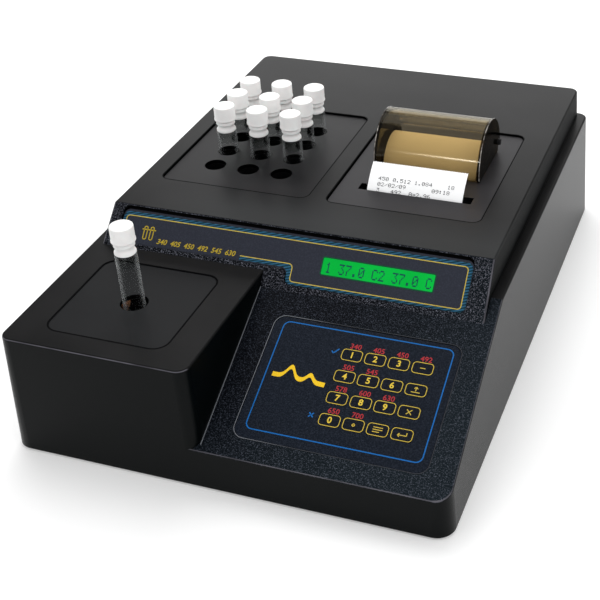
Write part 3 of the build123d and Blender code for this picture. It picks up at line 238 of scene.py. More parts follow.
def moulded_black():
    """The housing: satin level tops painted lighter than its walls as light from above shows them,
    grained slopes with painted glints and painted shading, painted highlights on its front edges
    and painted black shade in its recesses.
    """
    finish = Finish("moulded_black", (0.02, 0.02, 0.022), 0.42, specular=0.085)
    both, either = partial(finish.maths, "MULTIPLY"), partial(finish.maths, "MAXIMUM")
    normal = finish.nodes.new("ShaderNodeNewGeometry").outputs["Normal"]
    across, forward, up = finish.split(normal)
    x, y, z = finish.split(finish.place)
    grain = finish.noise(0.68, 3.0, 0.75)

    # The faces, told apart by the way they face and by their places
    facing_up = finish.span(up, 0.15, 0.6)
    facing_front = finish.span(forward, -0.2, -0.35)
    beside_block = either(finish.past(x, -13.6, -13.2), finish.past(y, 79 - MIDDLE, 80 - MIDDLE))
    sloped = both(both(finish.span(up, 0.985, 0.94), facing_front), beside_block)
    steep = finish.span(up, 0.86, 0.78)
    turned_away = finish.span(finish.maths("ABSOLUTE", across), 0.12, 0.25)
    # The front-facing rounded edges, where a highlight is painted
    edge = either(turned_away, finish.past(y, 3 - MIDDLE, 2.5 - MIDDLE))
    edge = both(either(edge, finish.span(beside_block, 1.0, 0.0)), facing_front)
    edge = both(edge, both(finish.span(up, 0.38, 0.5), finish.span(up, 0.84, 0.76)))
    # A painted sheen: the plateau's top is lighter at its front left
    front_sheen = both(finish.past(y, 161.5 - MIDDLE, 131.5 - MIDDLE), finish.past(z, 85, 88))
    front_sheen = both(front_sheen, finish.past(x, -100, -45))
    # Painted shading: the slopes and their glints darker at the top left, in the display strip's
    # shade, and lighter towards the lower right
    lit_share = finish.past(finish.maths("SUBTRACT", x, y), 125, 245)

    # The tones of the level tops, the slopes between their grains, the grains and the walls, with
    # the tops painted lighter and the walls darker as painted light and shade
    patches = finish.span(finish.noise(45, 3.0), 0.35, 0.65)
    level = finish.blend(patches, (0.0048, 0.0049, 0.0052), (0.0088, 0.0086, 0.0091))
    level = finish.blend(front_sheen, level, (0.0170, 0.0180, 0.0188))
    slope = finish.blend(lit_share, (0.0012, 0.0020, 0.0038), (0.0054, 0.0102, 0.0142))
    # Painted glints: the grain's specks are coloured bright, brighter still on the steep face
    grain_glint_tone = finish.blend(lit_share, (0.048, 0.056, 0.076), (0.082, 0.094, 0.120))
    grain_glint_tone = finish.blend(steep, grain_glint_tone, (0.182, 0.190, 0.232))
    grain_glint = both(finish.span(grain, 0.52, 0.68), both(sloped, facing_up))
    # Painted light and shade: the walls near black and the level tops lighter, as light from above
    # falls on them
    wall = finish.blend(facing_up, (0.0012, 0.0020, 0.0022), finish.blend(sloped, level, slope))
    # Painted highlight: the front-facing rounded edges are coloured light grey in uneven patches
    highlight_patches = finish.span(finish.noise(16, 3.0), 0.35, 0.62)
    edge_highlight = finish.blend(highlight_patches, (0.055, 0.054, 0.064), (0.120, 0.117, 0.136))
    plain = finish.blend(edge, finish.blend(grain_glint, wall, grain_glint_tone), edge_highlight)
    # Painted shade: the floors of the recesses round the plates, the keypad and the display strip
    # are coloured black
    recesses = [(KEYPAD_BOARD, 0.2), (DISPLAY_BOARD, 0.2)]
    for height in (HOUSING_TOP, BLOCK_TOP):
        recesses.append((Matrix.Translation(spot(0, 0, height)), 0.25))
    recess_shade = 0.0
    for board, depth in recesses:
        recess_shade = either(recess_shade, sunken(finish, normal, board, depth))
    finish.tones(recess_shade, plain, (0.0004, 0.0004, 0.0006))

    wall_gloss = finish.span(z, 72.5 * MM, 72.9 * MM, 0.28, 0.65)
    level_gloss = finish.span(sloped, 0.0, 1.0, 0.36, 0.46)
    finish.set("Roughness", finish.span(facing_up, 0.0, 1.0, wall_gloss, level_gloss))
    grained = either(sloped, finish.span(facing_up, 1.0, 0.0))
    finish.relief(grain, 0.12, finish.span(grained, 0.0, 1.0, 0.12, 0.7))
    return finish.material


def panel_black(name, darker, lighter):
    """A sunken plate: satin black with a very fine grain, its sides painted near black as shade."""
    finish = Finish(name, lighter, 0.42, specular=0.12)
    grain = finish.noise(0.45)
    patches = finish.noise(30, 3.0)
    tone = finish.blend(finish.span(patches, 0.35, 0.65), darker, lighter)
    up = finish.split(finish.nodes.new("ShaderNodeNewGeometry").outputs["Normal"])["Z"]
    facing_up = finish.span(up, 0.5, 0.8)
    # Painted shade: the plate's sides, which face the gap round it, are near black
    finish.tones(facing_up, (0.0004, 0.0004, 0.0005), tone)
    finish.set("Roughness", finish.span(patches, 0.3, 0.7, 0.36, 0.44))
    finish.relief(grain, 0.02, 0.25)
    return finish.material


def printed_film(name, colour, lighter):
    """A printed plastic film with a fine grain."""
    finish = Finish(name, colour, 0.4, specular=0.1)
    grain = finish.noise(0.8, 3.0, 0.7)
    finish.tones(finish.span(grain, 0.45, 0.70), colour, lighter)
    finish.relief(grain, 0.03, 0.35)
    return finish.material


def ink(name, colour):
    """Screen-printed ink, slightly uneven."""
    finish = Finish(name, colour, 0.5, specular=0.25)
    cover = finish.span(finish.noise(0.9), 0.3, 0.7)
    finish.tones(cover, tuple(0.82 * c for c in colour), colour)
    return finish.material


STREAK_SLANT, STREAK_PITCH = 4.2, 5.0


def striped_ink():
    """Long slanting streaks of pale blue, teal and dark blue on the film."""
    finish = Finish("striped_ink", (0.0, 0.1, 0.25), 0.45, specular=0.14)
    x, _, z = finish.split(finish.place)
    run = finish.maths("SUBTRACT", x, finish.maths("MULTIPLY", z, STREAK_SLANT))
    wave = finish.maths("PINGPONG", finish.maths("MULTIPLY", run, 1 / (STREAK_PITCH * MM)), 0.5)
    teal = finish.blend(finish.span(wave, 0.10, 0.18), (0.004, 0.014, 0.030), (0.010, 0.085, 0.125))
    uneven = finish.span(finish.noise(1.5), 0.35, 0.65)
    pale = finish.blend(uneven, (0.018, 0.090, 0.195), (0.040, 0.135, 0.255))
    finish.tones(finish.span(wave, 0.32, 0.40), teal, pale)
    return finish.material


def shaded_copper():
    """A copper spring collar, painted near black as the shade in the well, with bare copper only in
    small spots at its left side, where glints show.
    """
    finish = Finish("shaded_copper", (0.8, 0.38, 0.2), 0.3, metallic=1.0)
    off_middle = finish.maths("SUBTRACT", finish.split(finish.place)["X"], MEASURING_CELL[0] * MM)
    left = finish.past(off_middle, -6.1, -6.8)
    glint_spots = finish.maths("MULTIPLY", left, finish.span(finish.noise(2.2), 0.40, 0.52))
    # Painted shade on most of the collar, and copper left only for the glints
    finish.tones(glint_spots, (0.002, 0.002, 0.002), (0.85, 0.36, 0.17))
    finish.set("Roughness", finish.span(glint_spots, 0.0, 1.0, 0.6, 0.25))
    return finish.material


def lit_display():
    """The green of the lit display, a little uneven."""
    finish = Finish("lit_display", (0.0, 0.25, 0.03), 0.25, specular=0.08)
    uneven = finish.noise(25)
    green = finish.blend(finish.span(uneven, 0.3, 0.7), (0.0, 0.305, 0.031), (0.001, 0.355, 0.038))
    finish.set("Base Color", green)
    finish.set("Emission Color", green)
    finish.set("Emission Strength", 0.45)
    return finish.material


def stopper_plastic():
    """White moulded polythene, a little cloudy."""
    finish = Finish("stopper_plastic", (0.92, 0.91, 0.90), 0.38, specular=0.4)
    cloud = finish.span(finish.noise(6, 3.0), 0.3, 0.7)
    finish.tones(cloud, (0.90, 0.885, 0.88), (0.96, 0.955, 0.94))
    finish.set("Subsurface Weight", 0.15)
    finish.set("Subsurface Radius", (0.003, 0.002, 0.002))
    finish.relief(finish.noise(0.8), 0.02, 0.2)
    return finish.material


def clear_glass():
    """Thin-walled glass."""
    finish = Finish("clear_glass", (0.88, 0.90, 0.91), 0.03, metallic=0.45)
    finish.set("Roughness", finish.span(finish.noise(9), 0.3, 0.7, 0.02, 0.09))
    finish.see_through((0.97, 0.975, 0.975), 0.001, 4.6)
    return finish.material


def clear_plug():
    """Clear moulded plastic, a little cloudy."""
    finish = Finish("clear_plug", (0.55, 0.57, 0.56), 0.12, metallic=1.0)
    finish.set("Roughness", finish.span(finish.noise(3), 0.3, 0.7, 0.08, 0.2))
    finish.see_through((0.93, 0.94, 0.93), 0.03)
    return finish.material


def smoked_acrylic():
    """Clear brown acrylic, tinted much darker at its two cheeks."""
    finish = Finish("smoked_acrylic", (0.66, 0.63, 0.54), 0.1, metallic=1.0)
    finish.set("Roughness", finish.span(finish.noise(14), 0.3, 0.7, 0.09, 0.13))
    off_middle = finish.maths("SUBTRACT", finish.split(finish.place)["X"], ROLL_MIDDLE * MM)
    cheek = finish.past(finish.maths("ABSOLUTE", off_middle), COVER_HALF - 1.9, COVER_HALF - 1.55)
    finish.see_through(finish.blend(cheek, (0.87, 0.80, 0.65), (0.18, 0.14, 0.08)), 0.04)
    return finish.material


def cheek_rim_highlight():
    """The rounded rims of the acrylic cheeks, with painted highlights in bright patches."""
    finish = Finish("cheek_rim_highlight", (0.46, 0.43, 0.38), 0.14)
    highlight_patches = finish.span(finish.noise(5, 3.0), 0.46, 0.60)
    finish.tones(highlight_patches, (0.035, 0.028, 0.022), (0.52, 0.49, 0.46))
    finish.set("Roughness", finish.span(highlight_patches, 0.0, 1.0, 0.25, 0.12))
    return finish.material


def strip_paper():
    """Smooth paper with faint fibres and a painted glow that lifts it to white."""
    white = (0.985, 0.985, 0.98)
    finish = Finish("strip_paper", white, 0.6, specular=0.3)
    fibres = finish.noise(0.5, 4.0, 0.6, stretch=(1, 0.35, 1))
    finish.tones(finish.span(fibres, 0.35, 0.7), (0.95, 0.95, 0.95), white)
    # A painted glow: the paper gives off a little light of its own
    finish.set("Emission Color", (0.9, 0.95, 1.0, 1.0))
    finish.set("Emission Strength", 0.13)
    finish.relief(fibres, 0.012, 0.3)
    return finish.material


RING_PITCH = 0.5


def wound_paper():
    """The roll: smooth round its side and finely ringed on its ends."""
    finish = Finish("wound_paper", (0.84, 0.80, 0.72), 0.6, specular=0.3)
    axis = spot(ROLL_MIDDLE, *ROLL_AXIS)
    off_axis = finish.vector_maths("SUBTRACT", finish.place, axis, "Vector")
    flat = finish.vector_maths("MULTIPLY", off_axis, (0, 1, 1), "Vector")
    reach = finish.vector_maths("LENGTH", flat, (0, 0, 0), "Value")
    rings = finish.maths("SINE", finish.maths("MULTIPLY", reach, 2 * pi / (RING_PITCH * MM)))
    finish.tones(finish.span(rings, -1.0, 1.0), (0.74, 0.70, 0.62), (0.86, 0.82, 0.74))
    finish.relief(finish.noise(2.0, 3.0), 0.02, 0.3)
    return finish.material


def lip_highlight():
    """The thin lips on the slope, painted as highlight lines: bright at the left and fading dark at
    the right.
    """
    finish = Finish("lip_highlight", (0.10, 0.11, 0.12), 0.22, specular=0.3)
    uneven = finish.span(finish.noise(7), 0.0, 1.0, -6 * MM, 6 * MM)
    highlight_fade = finish.past(finish.maths("ADD", finish.split(finish.place)["X"], uneven), 8, 38)
    # Painted highlight, fading from left to right
    finish.tones(highlight_fade, (0.165, 0.175, 0.195), (0.040, 0.043, 0.050))
    return finish.material


def metal(name, colour, roughness, grain=0.6, stretch=(1, 1, 1), metallic=1.0):
    """Bare metal with fine marks."""
    finish = Finish(name, colour, roughness, metallic=metallic)
    marks = finish.noise(grain, 4.0, 0.6, stretch=stretch)
    darker = tuple(0.85 * c for c in colour)
    finish.tones(finish.span(marks, 0.3, 0.7), darker, colour)
    finish.set("Roughness", finish.span(marks, 0.3, 0.7, roughness * 0.8, roughness * 1.25))
    finish.relief(marks, 0.015, 0.3)
    return finish.material


def plain_mould(name, colour, roughness, grain=0.6, specular=0.3):
    """Moulded plastic or rubber with a fine grain."""
    finish = Finish(name, colour, roughness, specular=specular)
    marks = finish.noise(grain, 3.0, 0.55)
    patches = finish.span(finish.noise(12), 0.3, 0.7)
    finish.tones(patches, tuple(0.8 * c for c in colour), colour)
    finish.set("Roughness", finish.span(marks, 0.3, 0.7, roughness * 0.85, roughness * 1.15))
    finish.relief(marks, 0.03, 0.4)
    return finish.material


FINISHES = {
    "moulded": moulded_black(),
    "panel": panel_black("incubator_plate", (0.0088, 0.0085, 0.0095), (0.0126, 0.0120, 0.0134)),
    "printer_plate": panel_black(
        "printer_plate", (0.0195, 0.0186, 0.0208), (0.0275, 0.0262, 0.0290),
    ),
    "cell_plate": panel_black("cell_plate", (0.0040, 0.0045, 0.0055), (0.0075, 0.0080, 0.0092)),
    "film": printed_film("display_film", (0.027, 0.030, 0.043), (0.038, 0.043, 0.060)),
    "overlay": printed_film("keypad_film", (0.0055, 0.0085, 0.0150), (0.020, 0.026, 0.040)),
    "key": printed_film("key_film", (0.0050, 0.0070, 0.0120), (0.016, 0.020, 0.030)),
    "stripes": striped_ink(),
    "yellow": ink("yellow_ink", (0.60, 0.445, 0.065)),
    "digit_yellow": ink("digit_yellow_ink", (0.80, 0.57, 0.05)),
    "gold": ink("gold_ink", (0.50, 0.36, 0.02)),
    "bold_yellow": ink("bold_yellow_ink", (0.95, 0.60, 0.01)),
    "pale_yellow": ink("pale_yellow_ink", (0.66, 0.48, 0.06)),
    "blue": ink("blue_ink", (0.0, 0.130, 0.44)),
    "red": ink("red_ink", (0.45, 0.025, 0.033)),
    "display": lit_display(),
    "display_shadow_rim": ink("display_shadow_rim", (0.0, 0.09, 0.035)),
    "display_dots": ink("display_dots", (0.0, 0.075, 0.085)),
    "stopper": stopper_plastic(),
    "glass": clear_glass(),
    "plug": clear_plug(),
    "smoked": smoked_acrylic(),
    "strip": strip_paper(),
    "print": ink("grey_print", (0.013, 0.013, 0.016)),
    "roll": wound_paper(),
    "copper": shaded_copper(),
    "zinc": metal("zinc_steel", (0.60, 0.60, 0.61), 0.35),
    "aluminium": metal("brushed_aluminium", (0.72, 0.72, 0.73), 0.4, 0.5, (0.05, 1, 1)),
    "anodised": metal("black_anodised", (0.006, 0.006, 0.007), 0.5, metallic=0.6),
    "base_paint": plain_mould("base_paint", (0.02, 0.02, 0.021), 0.55),
    "rubber": plain_mould("foot_rubber", (0.022, 0.022, 0.022), 0.8, 0.9),
    "black_plastic": plain_mould("inlet_plastic", (0.016, 0.016, 0.018), 0.4),
    "mechanism": plain_mould("mechanism_plastic", (0.014, 0.014, 0.015), 0.5),
    "highlight_lip": lip_highlight(),
    "recess_shade": plain_mould("seam_shadow", (0.0015, 0.0015, 0.002), 0.7, specular=0.05),
    "edge": cheek_rim_highlight(),
    "spindle": plain_mould("spindle_plastic", (0.55, 0.55, 0.54), 0.5),
    "silicone": plain_mould("heater_silicone", (0.52, 0.08, 0.02), 0.7),
    "ceramic": plain_mould("lamp_ceramic", (0.65, 0.62, 0.55), 0.6),
    "board": plain_mould("circuit_board", (0.01, 0.09, 0.03), 0.45),
    "winding": plain_mould("winding_tape", (0.45, 0.33, 0.06), 0.5),
    "circuit": plain_mould("switch_layer", (0.5, 0.5, 0.48), 0.4),
}

NODE_FINISHES = {
    "housing_cover": "moulded", "incubator_panel": "panel", "printer_panel": "printer_plate",
    "cell_cover": "cell_plate", "display_fascia": "film", "lcd_module": "zinc",
    "keypad_overlay": "overlay", "keypad_circuit": "circuit",
    "base_plate": "base_paint", "rubber_feet": "rubber", "base_screws": "zinc",
    "incubator_block": "anodised", "heater_pad": "silicone", "cell_block": "anodised",
    "cell_clip": "copper", "filter_wheel": "anodised", "filter_motor": "zinc",
    "lamp_module": "ceramic", "detector_board": "board",
    "main_board": "board", "board_standoffs": "spindle", "power_transformer": "winding",
    "printer_mechanism": "mechanism", "platen_roller": "rubber", "paper_roll": "roll",
    "roll_spindle": "spindle", "roll_cover": "smoked", "cover_hinge_pins": "mechanism",
    "rear_panel": "aluminium", "power_inlet": "black_plastic", "power_rocker": "black_plastic",
    "serial_port": "zinc", "cell_tube": "glass", "cell_cap": "stopper", "paper_strip": "strip",
}


def finish_nodes():
    """Give every carried-over node its finish."""
    for name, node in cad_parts.items():
        key = "key" if name.startswith("key_") else NODE_FINISHES.get(name, "glass")
        for place in node.material_slots:
            place.material = FINISHES[key]


# Modelling

def clear_selection():
    """Leave edit mode with nothing selected."""
    if bpy.context.mode != "OBJECT":
        bpy.ops.object.mode_set(mode="OBJECT")
    bpy.ops.object.select_all(action="DESELECT")


def pick(kind, test):
    """Select the corners, edges or faces of the open mesh whose middle passes the test."""
    mesh = bmesh.from_edit_mesh(bpy.context.edit_object.data)
    bpy.context.tool_settings.mesh_select_mode = (kind == "corner", kind == "edge", kind == "face")
    for group in (mesh.verts, mesh.edges, mesh.faces):
        for one in group:
            one.select_set(False)
    if kind == "corner":
        chosen = [one for one in mesh.verts if test(one.co)]
    elif kind == "edge":
        chosen = [one for one in mesh.edges if test((one.verts[0].co + one.verts[1].co) / 2)]
    else:
        chosen = [one for one in mesh.faces if test(one.calc_center_median())]
    for one in chosen:
        one.select_set(True)
    bmesh.update_edit_mesh(bpy.context.edit_object.data)


def pick_all():
    """Select the whole open mesh."""
    bpy.ops.mesh.select_all(action="SELECT")


def pull(x, y, z=0.0):
    """Extrude the picked edges by this many millimetres."""
    bpy.ops.mesh.extrude_edges_move(TRANSFORM_OT_translate={"value": (x * MM, y * MM, z * MM)})


def face_outwards():
    """Turn every face of the open mesh to the outside."""
    pick_all()
    bpy.ops.mesh.normals_make_consistent(inside=False)


def named(name, finish=None):
    """Leave edit mode and give the piece its name and its finish."""
    bpy.ops.object.mode_set(mode="OBJECT")
    piece = bpy.context.object
    piece.name = piece.data.name = name
    if finish:
        piece.data.materials.append(FINISHES[finish])
    return piece


def thicken(piece, thickness, offset=1.0):
    """Give a flat piece its thickness, in millimetres."""
    wall = piece.modifiers.new("wall", "SOLIDIFY")
    wall.thickness, wall.offset = thickness * MM, offset
    bpy.context.view_layer.objects.active = piece
    bpy.ops.object.modifier_apply(modifier=wall.name)
    return piece


def lay(piece, board):
    """Move a drawn piece onto its place and leave that place in its mesh."""
    clear_selection()
    piece.select_set(True)
    bpy.context.view_layer.objects.active = piece
    piece.matrix_world = board
    bpy.ops.object.transform_apply(location=True, rotation=True, scale=True)
    return piece


def joined(pieces, name):
    """One piece out of several."""
    clear_selection()
    for piece in pieces:
        piece.select_set(True)
    bpy.context.view_layer.objects.active = pieces[0]
    bpy.ops.object.join()
    pieces[0].name = pieces[0].data.name = name
    return pieces[0]


def own_copy(piece, name):
    """A copy with its own mesh."""
    copy = piece.copy()
    copy.data = piece.data.copy()
    copy.name = copy.data.name = name
    bpy.context.scene.collection.objects.link(copy)
    return copy


def turned(name, profile, finish):
    """A round piece: a ring drawn up a profile of (radius, height) points, closed at both poles."""
    clear_selection()
    radius, height = profile[1]
    bpy.ops.mesh.primitive_circle_add(
        vertices=ROUND_SIDES, radius=radius * MM, fill_type="TRIFAN", enter_editmode=True,
    )
    pick_all()
    bpy.ops.transform.translate(value=(0, 0, height * MM))
    pick("corner", lambda co: co.xy.length < SAME)
    bpy.ops.transform.translate(value=(0, 0, (profile[0][1] - height) * MM))
    pick("edge", lambda co: co.xy.length > 0.9 * radius * MM)
    for next_radius, next_height in profile[2:]:
        pull(0, 0, next_height - height)
        if next_radius == 0:
            bpy.ops.mesh.merge(type="CENTER")
        else:
            scale = next_radius / radius
            centre = (0, 0, next_height * MM)
            bpy.ops.transform.resize(value=(scale, scale, 1), center_override=centre)
        radius, height = next_radius, next_height
    face_outwards()
    piece = named(name, finish)
    bpy.ops.object.shade_smooth_by_angle(angle=SHARP_TURN)
    return piece


def open_plate(x0, x1, y0, y1, radius=0.0):
    """Start a flat plate on the drawing board, with rounded corners, and stay in edit mode."""
    clear_selection()
    bpy.ops.mesh.primitive_plane_add(size=1, enter_editmode=True)
    bpy.ops.transform.resize(value=((x1 - x0) * MM, (y1 - y0) * MM, 1), center_override=(0, 0, 0))
    bpy.ops.transform.translate(value=((x0 + x1) / 2 * MM, (y0 + y1) / 2 * MM, 0))
    if radius:
        bpy.ops.mesh.bevel(affect="VERTICES", offset=radius * MM, segments=8)
        pick_all()


def ring(name, x0, x1, y0, y1, radius, width, finish, thickness):
    """A printed line round a rounded rectangle."""
    open_plate(x0, x1, y0, y1, radius)
    bpy.ops.mesh.inset(thickness=width * MM)
    bpy.ops.mesh.delete(type="FACE")
    return thicken(named(name, finish), thickness)


def bar(start, end, width, finish, thickness):
    """A straight printed stroke with soft ends."""
    run = Vector(end) - Vector(start)
    open_plate(-run.length / 2, run.length / 2, -width / 2, width / 2, width * 0.3)
    piece = thicken(named("stroke", finish), thickness)
    middle = (Vector(start) + Vector(end)) / 2 * MM
    turn = Matrix.Rotation(-Vector((1, 0)).angle_signed(run), 4, "Z")
    return lay(piece, Matrix.Translation((middle.x, middle.y, 0)) @ turn)


def lettering(text, x, y, size, finish, weight, lean=0.0):
    """Printed characters, centred on a place on the drawing board."""
    clear_selection()
    bpy.ops.object.text_add()
    words = bpy.context.object
    words.data.body = text
    words.data.size = size * MM
    words.data.shear = lean
    words.data.align_x, words.data.align_y = "CENTER", "CENTER"
    words.data.offset = weight * MM
    words.data.extrude = INK / 2 * MM
    words.data.resolution_u = 3
    bpy.ops.object.convert(target="MESH")
    words = bpy.context.object
    words.data.materials.clear()
    words.data.materials.append(FINISHES[finish])
    return lay(words, Matrix.Translation((x * MM, y * MM, INK / 2 * MM)))


def finish_print(pieces, name, board, body):
    """Put a print on its face as one piece and let it ride on its body."""
    piece = lay(joined(pieces, name), board)
    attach(piece, body)


# Display strip

# Left, right, top, step, and the lower edge left and right of the step
BAND_OUTSIDE = (-106.6, 103.7, -3.9, 0.0, -22.2, -31.5)
LINE_OUTSIDE = (-104.9, 101.4, -6.0, 2.45, -20.1, -30.0)
BAND_RADIUS, LINE_RADIUS, LINE_WIDTH = 3.6, 2.2, 0.52
BARE_FROM, BARE_TO, BARE_TOP = -98.2, -29.6, -15


def stepped_outline(left, right, top, step, low_left, low_right, radius):
    """Start the stepped outline of the display strip as one flat face."""
    open_plate(left, step, low_left, top)
    pick("edge", lambda co: abs(co.x - step * MM) < SAME)
    pull(right - step, 0)
    pick("edge", lambda co: abs(co.y - low_left * MM) < SAME and co.x > step * MM)
    pull(0, low_right - low_left)
    pick_all()
    bpy.ops.mesh.dissolve_limited(angle_limit=radians(1))
    pick_all()
    bpy.ops.mesh.bevel(affect="VERTICES", offset=radius * MM, segments=8)
    pick_all()


def cut_bare_part():
    """Take the printed frame away under the marks, where the display strip is left plain."""
    for x in (BARE_FROM, BARE_TO):
        pick_all()
        bpy.ops.mesh.bisect(plane_co=(x * MM, 0, 0), plane_no=(1, 0, 0))
    pick("face", lambda co: BARE_FROM * MM < co.x < BARE_TO * MM and co.y < BARE_TOP * MM)
    bpy.ops.mesh.delete(type="FACE")


def fascia_border():
    """The striped band round the display strip and the yellow line inside it."""
    rims = []
    for outline, radius in ((BAND_OUTSIDE, BAND_RADIUS), (LINE_OUTSIDE, LINE_RADIUS)):
        stepped_outline(*outline, radius)
        bpy.ops.mesh.delete(type="ONLY_FACE")
        rims.append(named("rim"))
    joined(rims, "striped_band")
    bpy.ops.object.mode_set(mode="EDIT")
    pick_all()
    bpy.ops.mesh.bridge_edge_loops()
    cut_bare_part()
    face_outwards()
    band = thicken(named("striped_band", "stripes"), INK)
    stepped_outline(*LINE_OUTSIDE, LINE_RADIUS)
    bpy.ops.mesh.inset(thickness=LINE_WIDTH * MM)
    bpy.ops.mesh.delete(type="FACE")
    cut_bare_part()
    line = thicken(named("yellow_line", "yellow"), INK)
    for piece in (band, line):
        finish_print([piece], piece.name, DISPLAY_BOARD, "housing")


# The dots of each sign, a row of five at a time from the top
DOT_DIGITS = {
    "0": "01110 10001 10011 10101 11001 10001 01110",
    "1": "00100 01100 00100 00100 00100 00100 01110",
    "2": "01110 10001 00001 00010 00100 01000 11111",
    "3": "11111 00010 00100 00010 00001 10001 01110",
    "4": "00010 00110 01010 10010 11111 00010 00010",
    "5": "11111 10000 11110 00001 00001 10001 01110",
    "6": "00110 01000 10000 11110 10001 10001 01110",
    "7": "11111 00001 00010 00100 01000 01000 01000",
    "8": "01110 10001 10001 01110 10001 10001 01110",
    "9": "01110 10001 10001 01111 00001 00010 01100",
    ".": "00000 00000 00000 00000 00000 01100 01100",
    ":": "00000 01100 01100 00000 01100 01100 00000",
    "/": "00000 00001 00010 00100 01000 10000 00000",
    "C": "01110 10001 10000 10000 10000 10001 01110",
    "A": "01110 10001 10001 11111 10001 10001 10001",
    "=": "00000 00000 11111 00000 11111 00000 00000",
}
DOT_COLUMNS, DOT_ROWS = 5, 7

# Half a dot's side, as a share of the pitch
DOT_FILL = 0.47


def dot_text(text, x, y, pitch, finish, thickness):
    """Characters made of dots on a grid, from a lower left corner."""
    across, up = pitch
    open_plate(-DOT_FILL * across, DOT_FILL * across, -DOT_FILL * up, DOT_FILL * up)
    dot = thicken(named("dot", finish), thickness)
    dots = []
    for place, sign in enumerate(text):
        for row, line in enumerate(DOT_DIGITS.get(sign, "").split()):
            for column, mark in enumerate(line):
                if mark == "1":
                    copy = own_copy(dot, "dot")
                    dot_x = x + (place * (DOT_COLUMNS + 1) + column) * across
                    dot_y = y + (DOT_ROWS - 1 - row) * up
                    copy.location = (dot_x * MM, dot_y * MM, 0)
                    dots.append(copy)
    bpy.data.objects.remove(dot)
    words = joined(dots, "dots")
    bpy.ops.object.transform_apply(location=True, rotation=False, scale=False)
    return words


# Left, right, bottom and top, and the corner radius
WINDOW, WINDOW_RADIUS = (19.3, 84.7, -23.4, -12.7), 1.3
WINDOW_SHADOW_RIM, WINDOW_SHADOW_RIM_RADIUS = (19.2, 84.8, -23.5, -12.6), 1.4
DIGITS_PLACE, DIGITS_PITCH = (22.3, -21.2), (0.642, 0.86)


def display_window():
    """The lit window with a painted shadow round its edge, and its digits."""
    open_plate(*WINDOW, WINDOW_RADIUS)
    window = thicken(named("display_window", "display"), INK)
    finish_print([window], "display_window", DISPLAY_BOARD, "housing")
    # A painted shadow: a dark green ring round the window
    rim = ring("display_shadow_rim", *WINDOW_SHADOW_RIM, WINDOW_SHADOW_RIM_RADIUS, 0.7, "display_shadow_rim", INK * 2)
    finish_print([rim], "display_shadow_rim", DISPLAY_BOARD, "housing")
    words = dot_text("1 37.0 C2 37.0 C", *DIGITS_PLACE, DIGITS_PITCH, "display_dots", INK * 2)
    finish_print([words], "display_digits", DISPLAY_BOARD, "housing")


# Left and right side of each marked tube, its foot and head, and the ends of the rack
TUBE_MARKS, MARK_FOOT, MARK_HEAD = ((-92.0, -89.4), (-88.0, -85.4)), -19.4, -11.2
RACK_MARK = ((-93.1, -13.3), (-84.3, -13.3))
FILTERS, FILTERS_PLACE = "340  405  450  492  545  630", (-57.6, -19.4)


def fascia_marks():
    """A mark of two tubes in a rack and a row of filter wavelengths, in yellow."""
    marks = []
    for left, right in TUBE_MARKS:
        marks.append(ring("tube_mark", left, right, MARK_FOOT, MARK_HEAD, 1.2, 0.6, "gold", INK))
    marks.append(bar(*RACK_MARK, 0.7, "gold", INK))
    marks.append(lettering(FILTERS, *FILTERS_PLACE, 4.2, "gold", weight=0.09, lean=0.25))
    finish_print(marks, "fascia_marks", DISPLAY_BOARD, "housing")


# Keypad

# What each key shows, and the red number over it
KEY_SIGNS = "1 2 3 - 4 5 6 feed 7 8 9 clear 0 dot print enter".split()
RED_NUMBERS = [
    "340", "405", "450", "492",
    "505", "545", "", "",
    "578", "600", "630", "",
    "650", "700", "", "",
]
FIRST_KEY, KEY_PITCH = (51.6, 70.6), (13.05, 13)
KEY_HALF, KEY_RADIUS, KEY_LINE = (5.75, 3.45), 2.1, 0.38

# Left, right, bottom and top, corner radius and width of the lines round the keypad
FRAME_LINE = (8.5, 104.9, 18.1, 84.6, 4.0, 0.66)
# The lip stands on the recess edge round the keypad, painted as a highlight line
KEYPAD_LIP = (3.0, 109.2, 12.2, 87.6, 6.6, 0.35)

# Both ends and the width of the highlight line along the foot of the block
SLOPE_EDGE = ((-10.5, 4.0), (-12.6, 104.0), 0.5)
LIP_HEIGHT = 0.12

# Strokes from one point to another, counted from the middle of the key
STROKES = {
    "-": [(-1.5, 0, 1.5, 0)],
    "feed": [(-2.4, -1.4, 2.4, -1.4), (0, -0.8, 0, 1.7), (0, 1.7, -1, 0.7), (0, 1.7, 1, 0.7)],
    "clear": [(-1.4, -1.4, 1.4, 1.4), (-1.4, 1.4, 1.4, -1.4)],
    "print": [(-2.6, 1.3, 2.6, 1.3), (-2.6, 0, 2.6, 0), (-2.6, -1.3, 1.2, -1.3)],
    "enter": [
        (-2.4, -0.4, 2.4, -0.4), (2.4, -0.4, 2.4, 1.4),
        (-2.4, -0.4, -1.3, 0.6), (-2.4, -0.4, -1.3, -1.4),
    ],
    "dot": [(-0.9, 0, 0.9, 0), (0, -0.9, 0, 0.9)],
}

# The strokes of the blue signs
TICK = [(40.0, 71.4, 41.2, 70.2), (41.2, 70.2, 43.8, 73.2)]
CROSS = [(39.8, 31.4, 42.4, 34.0), (39.8, 34.0, 42.4, 31.4)]


def slope_highlight_lips():
    """The thin raised lips round the keypad and along the foot of the block, painted as highlight
    lines.
    """
    highlight_lip = ring("keypad_lip_highlight", *KEYPAD_LIP, "highlight_lip", LIP_HEIGHT)
    finish_print([highlight_lip], "keypad_lip_highlight", KEYPAD_FACE, "housing")
    foot = bar(*SLOPE_EDGE, "highlight_lip", LIP_HEIGHT)
    finish_print([foot], "slope_edge_highlight", KEYPAD_FACE, "housing")


def key_place(index):
    """The middle of a key, counted from the upper left one, four to a row."""
    return FIRST_KEY[0] + KEY_PITCH[0] * (index % 4), FIRST_KEY[1] - KEY_PITCH[1] * (index // 4)


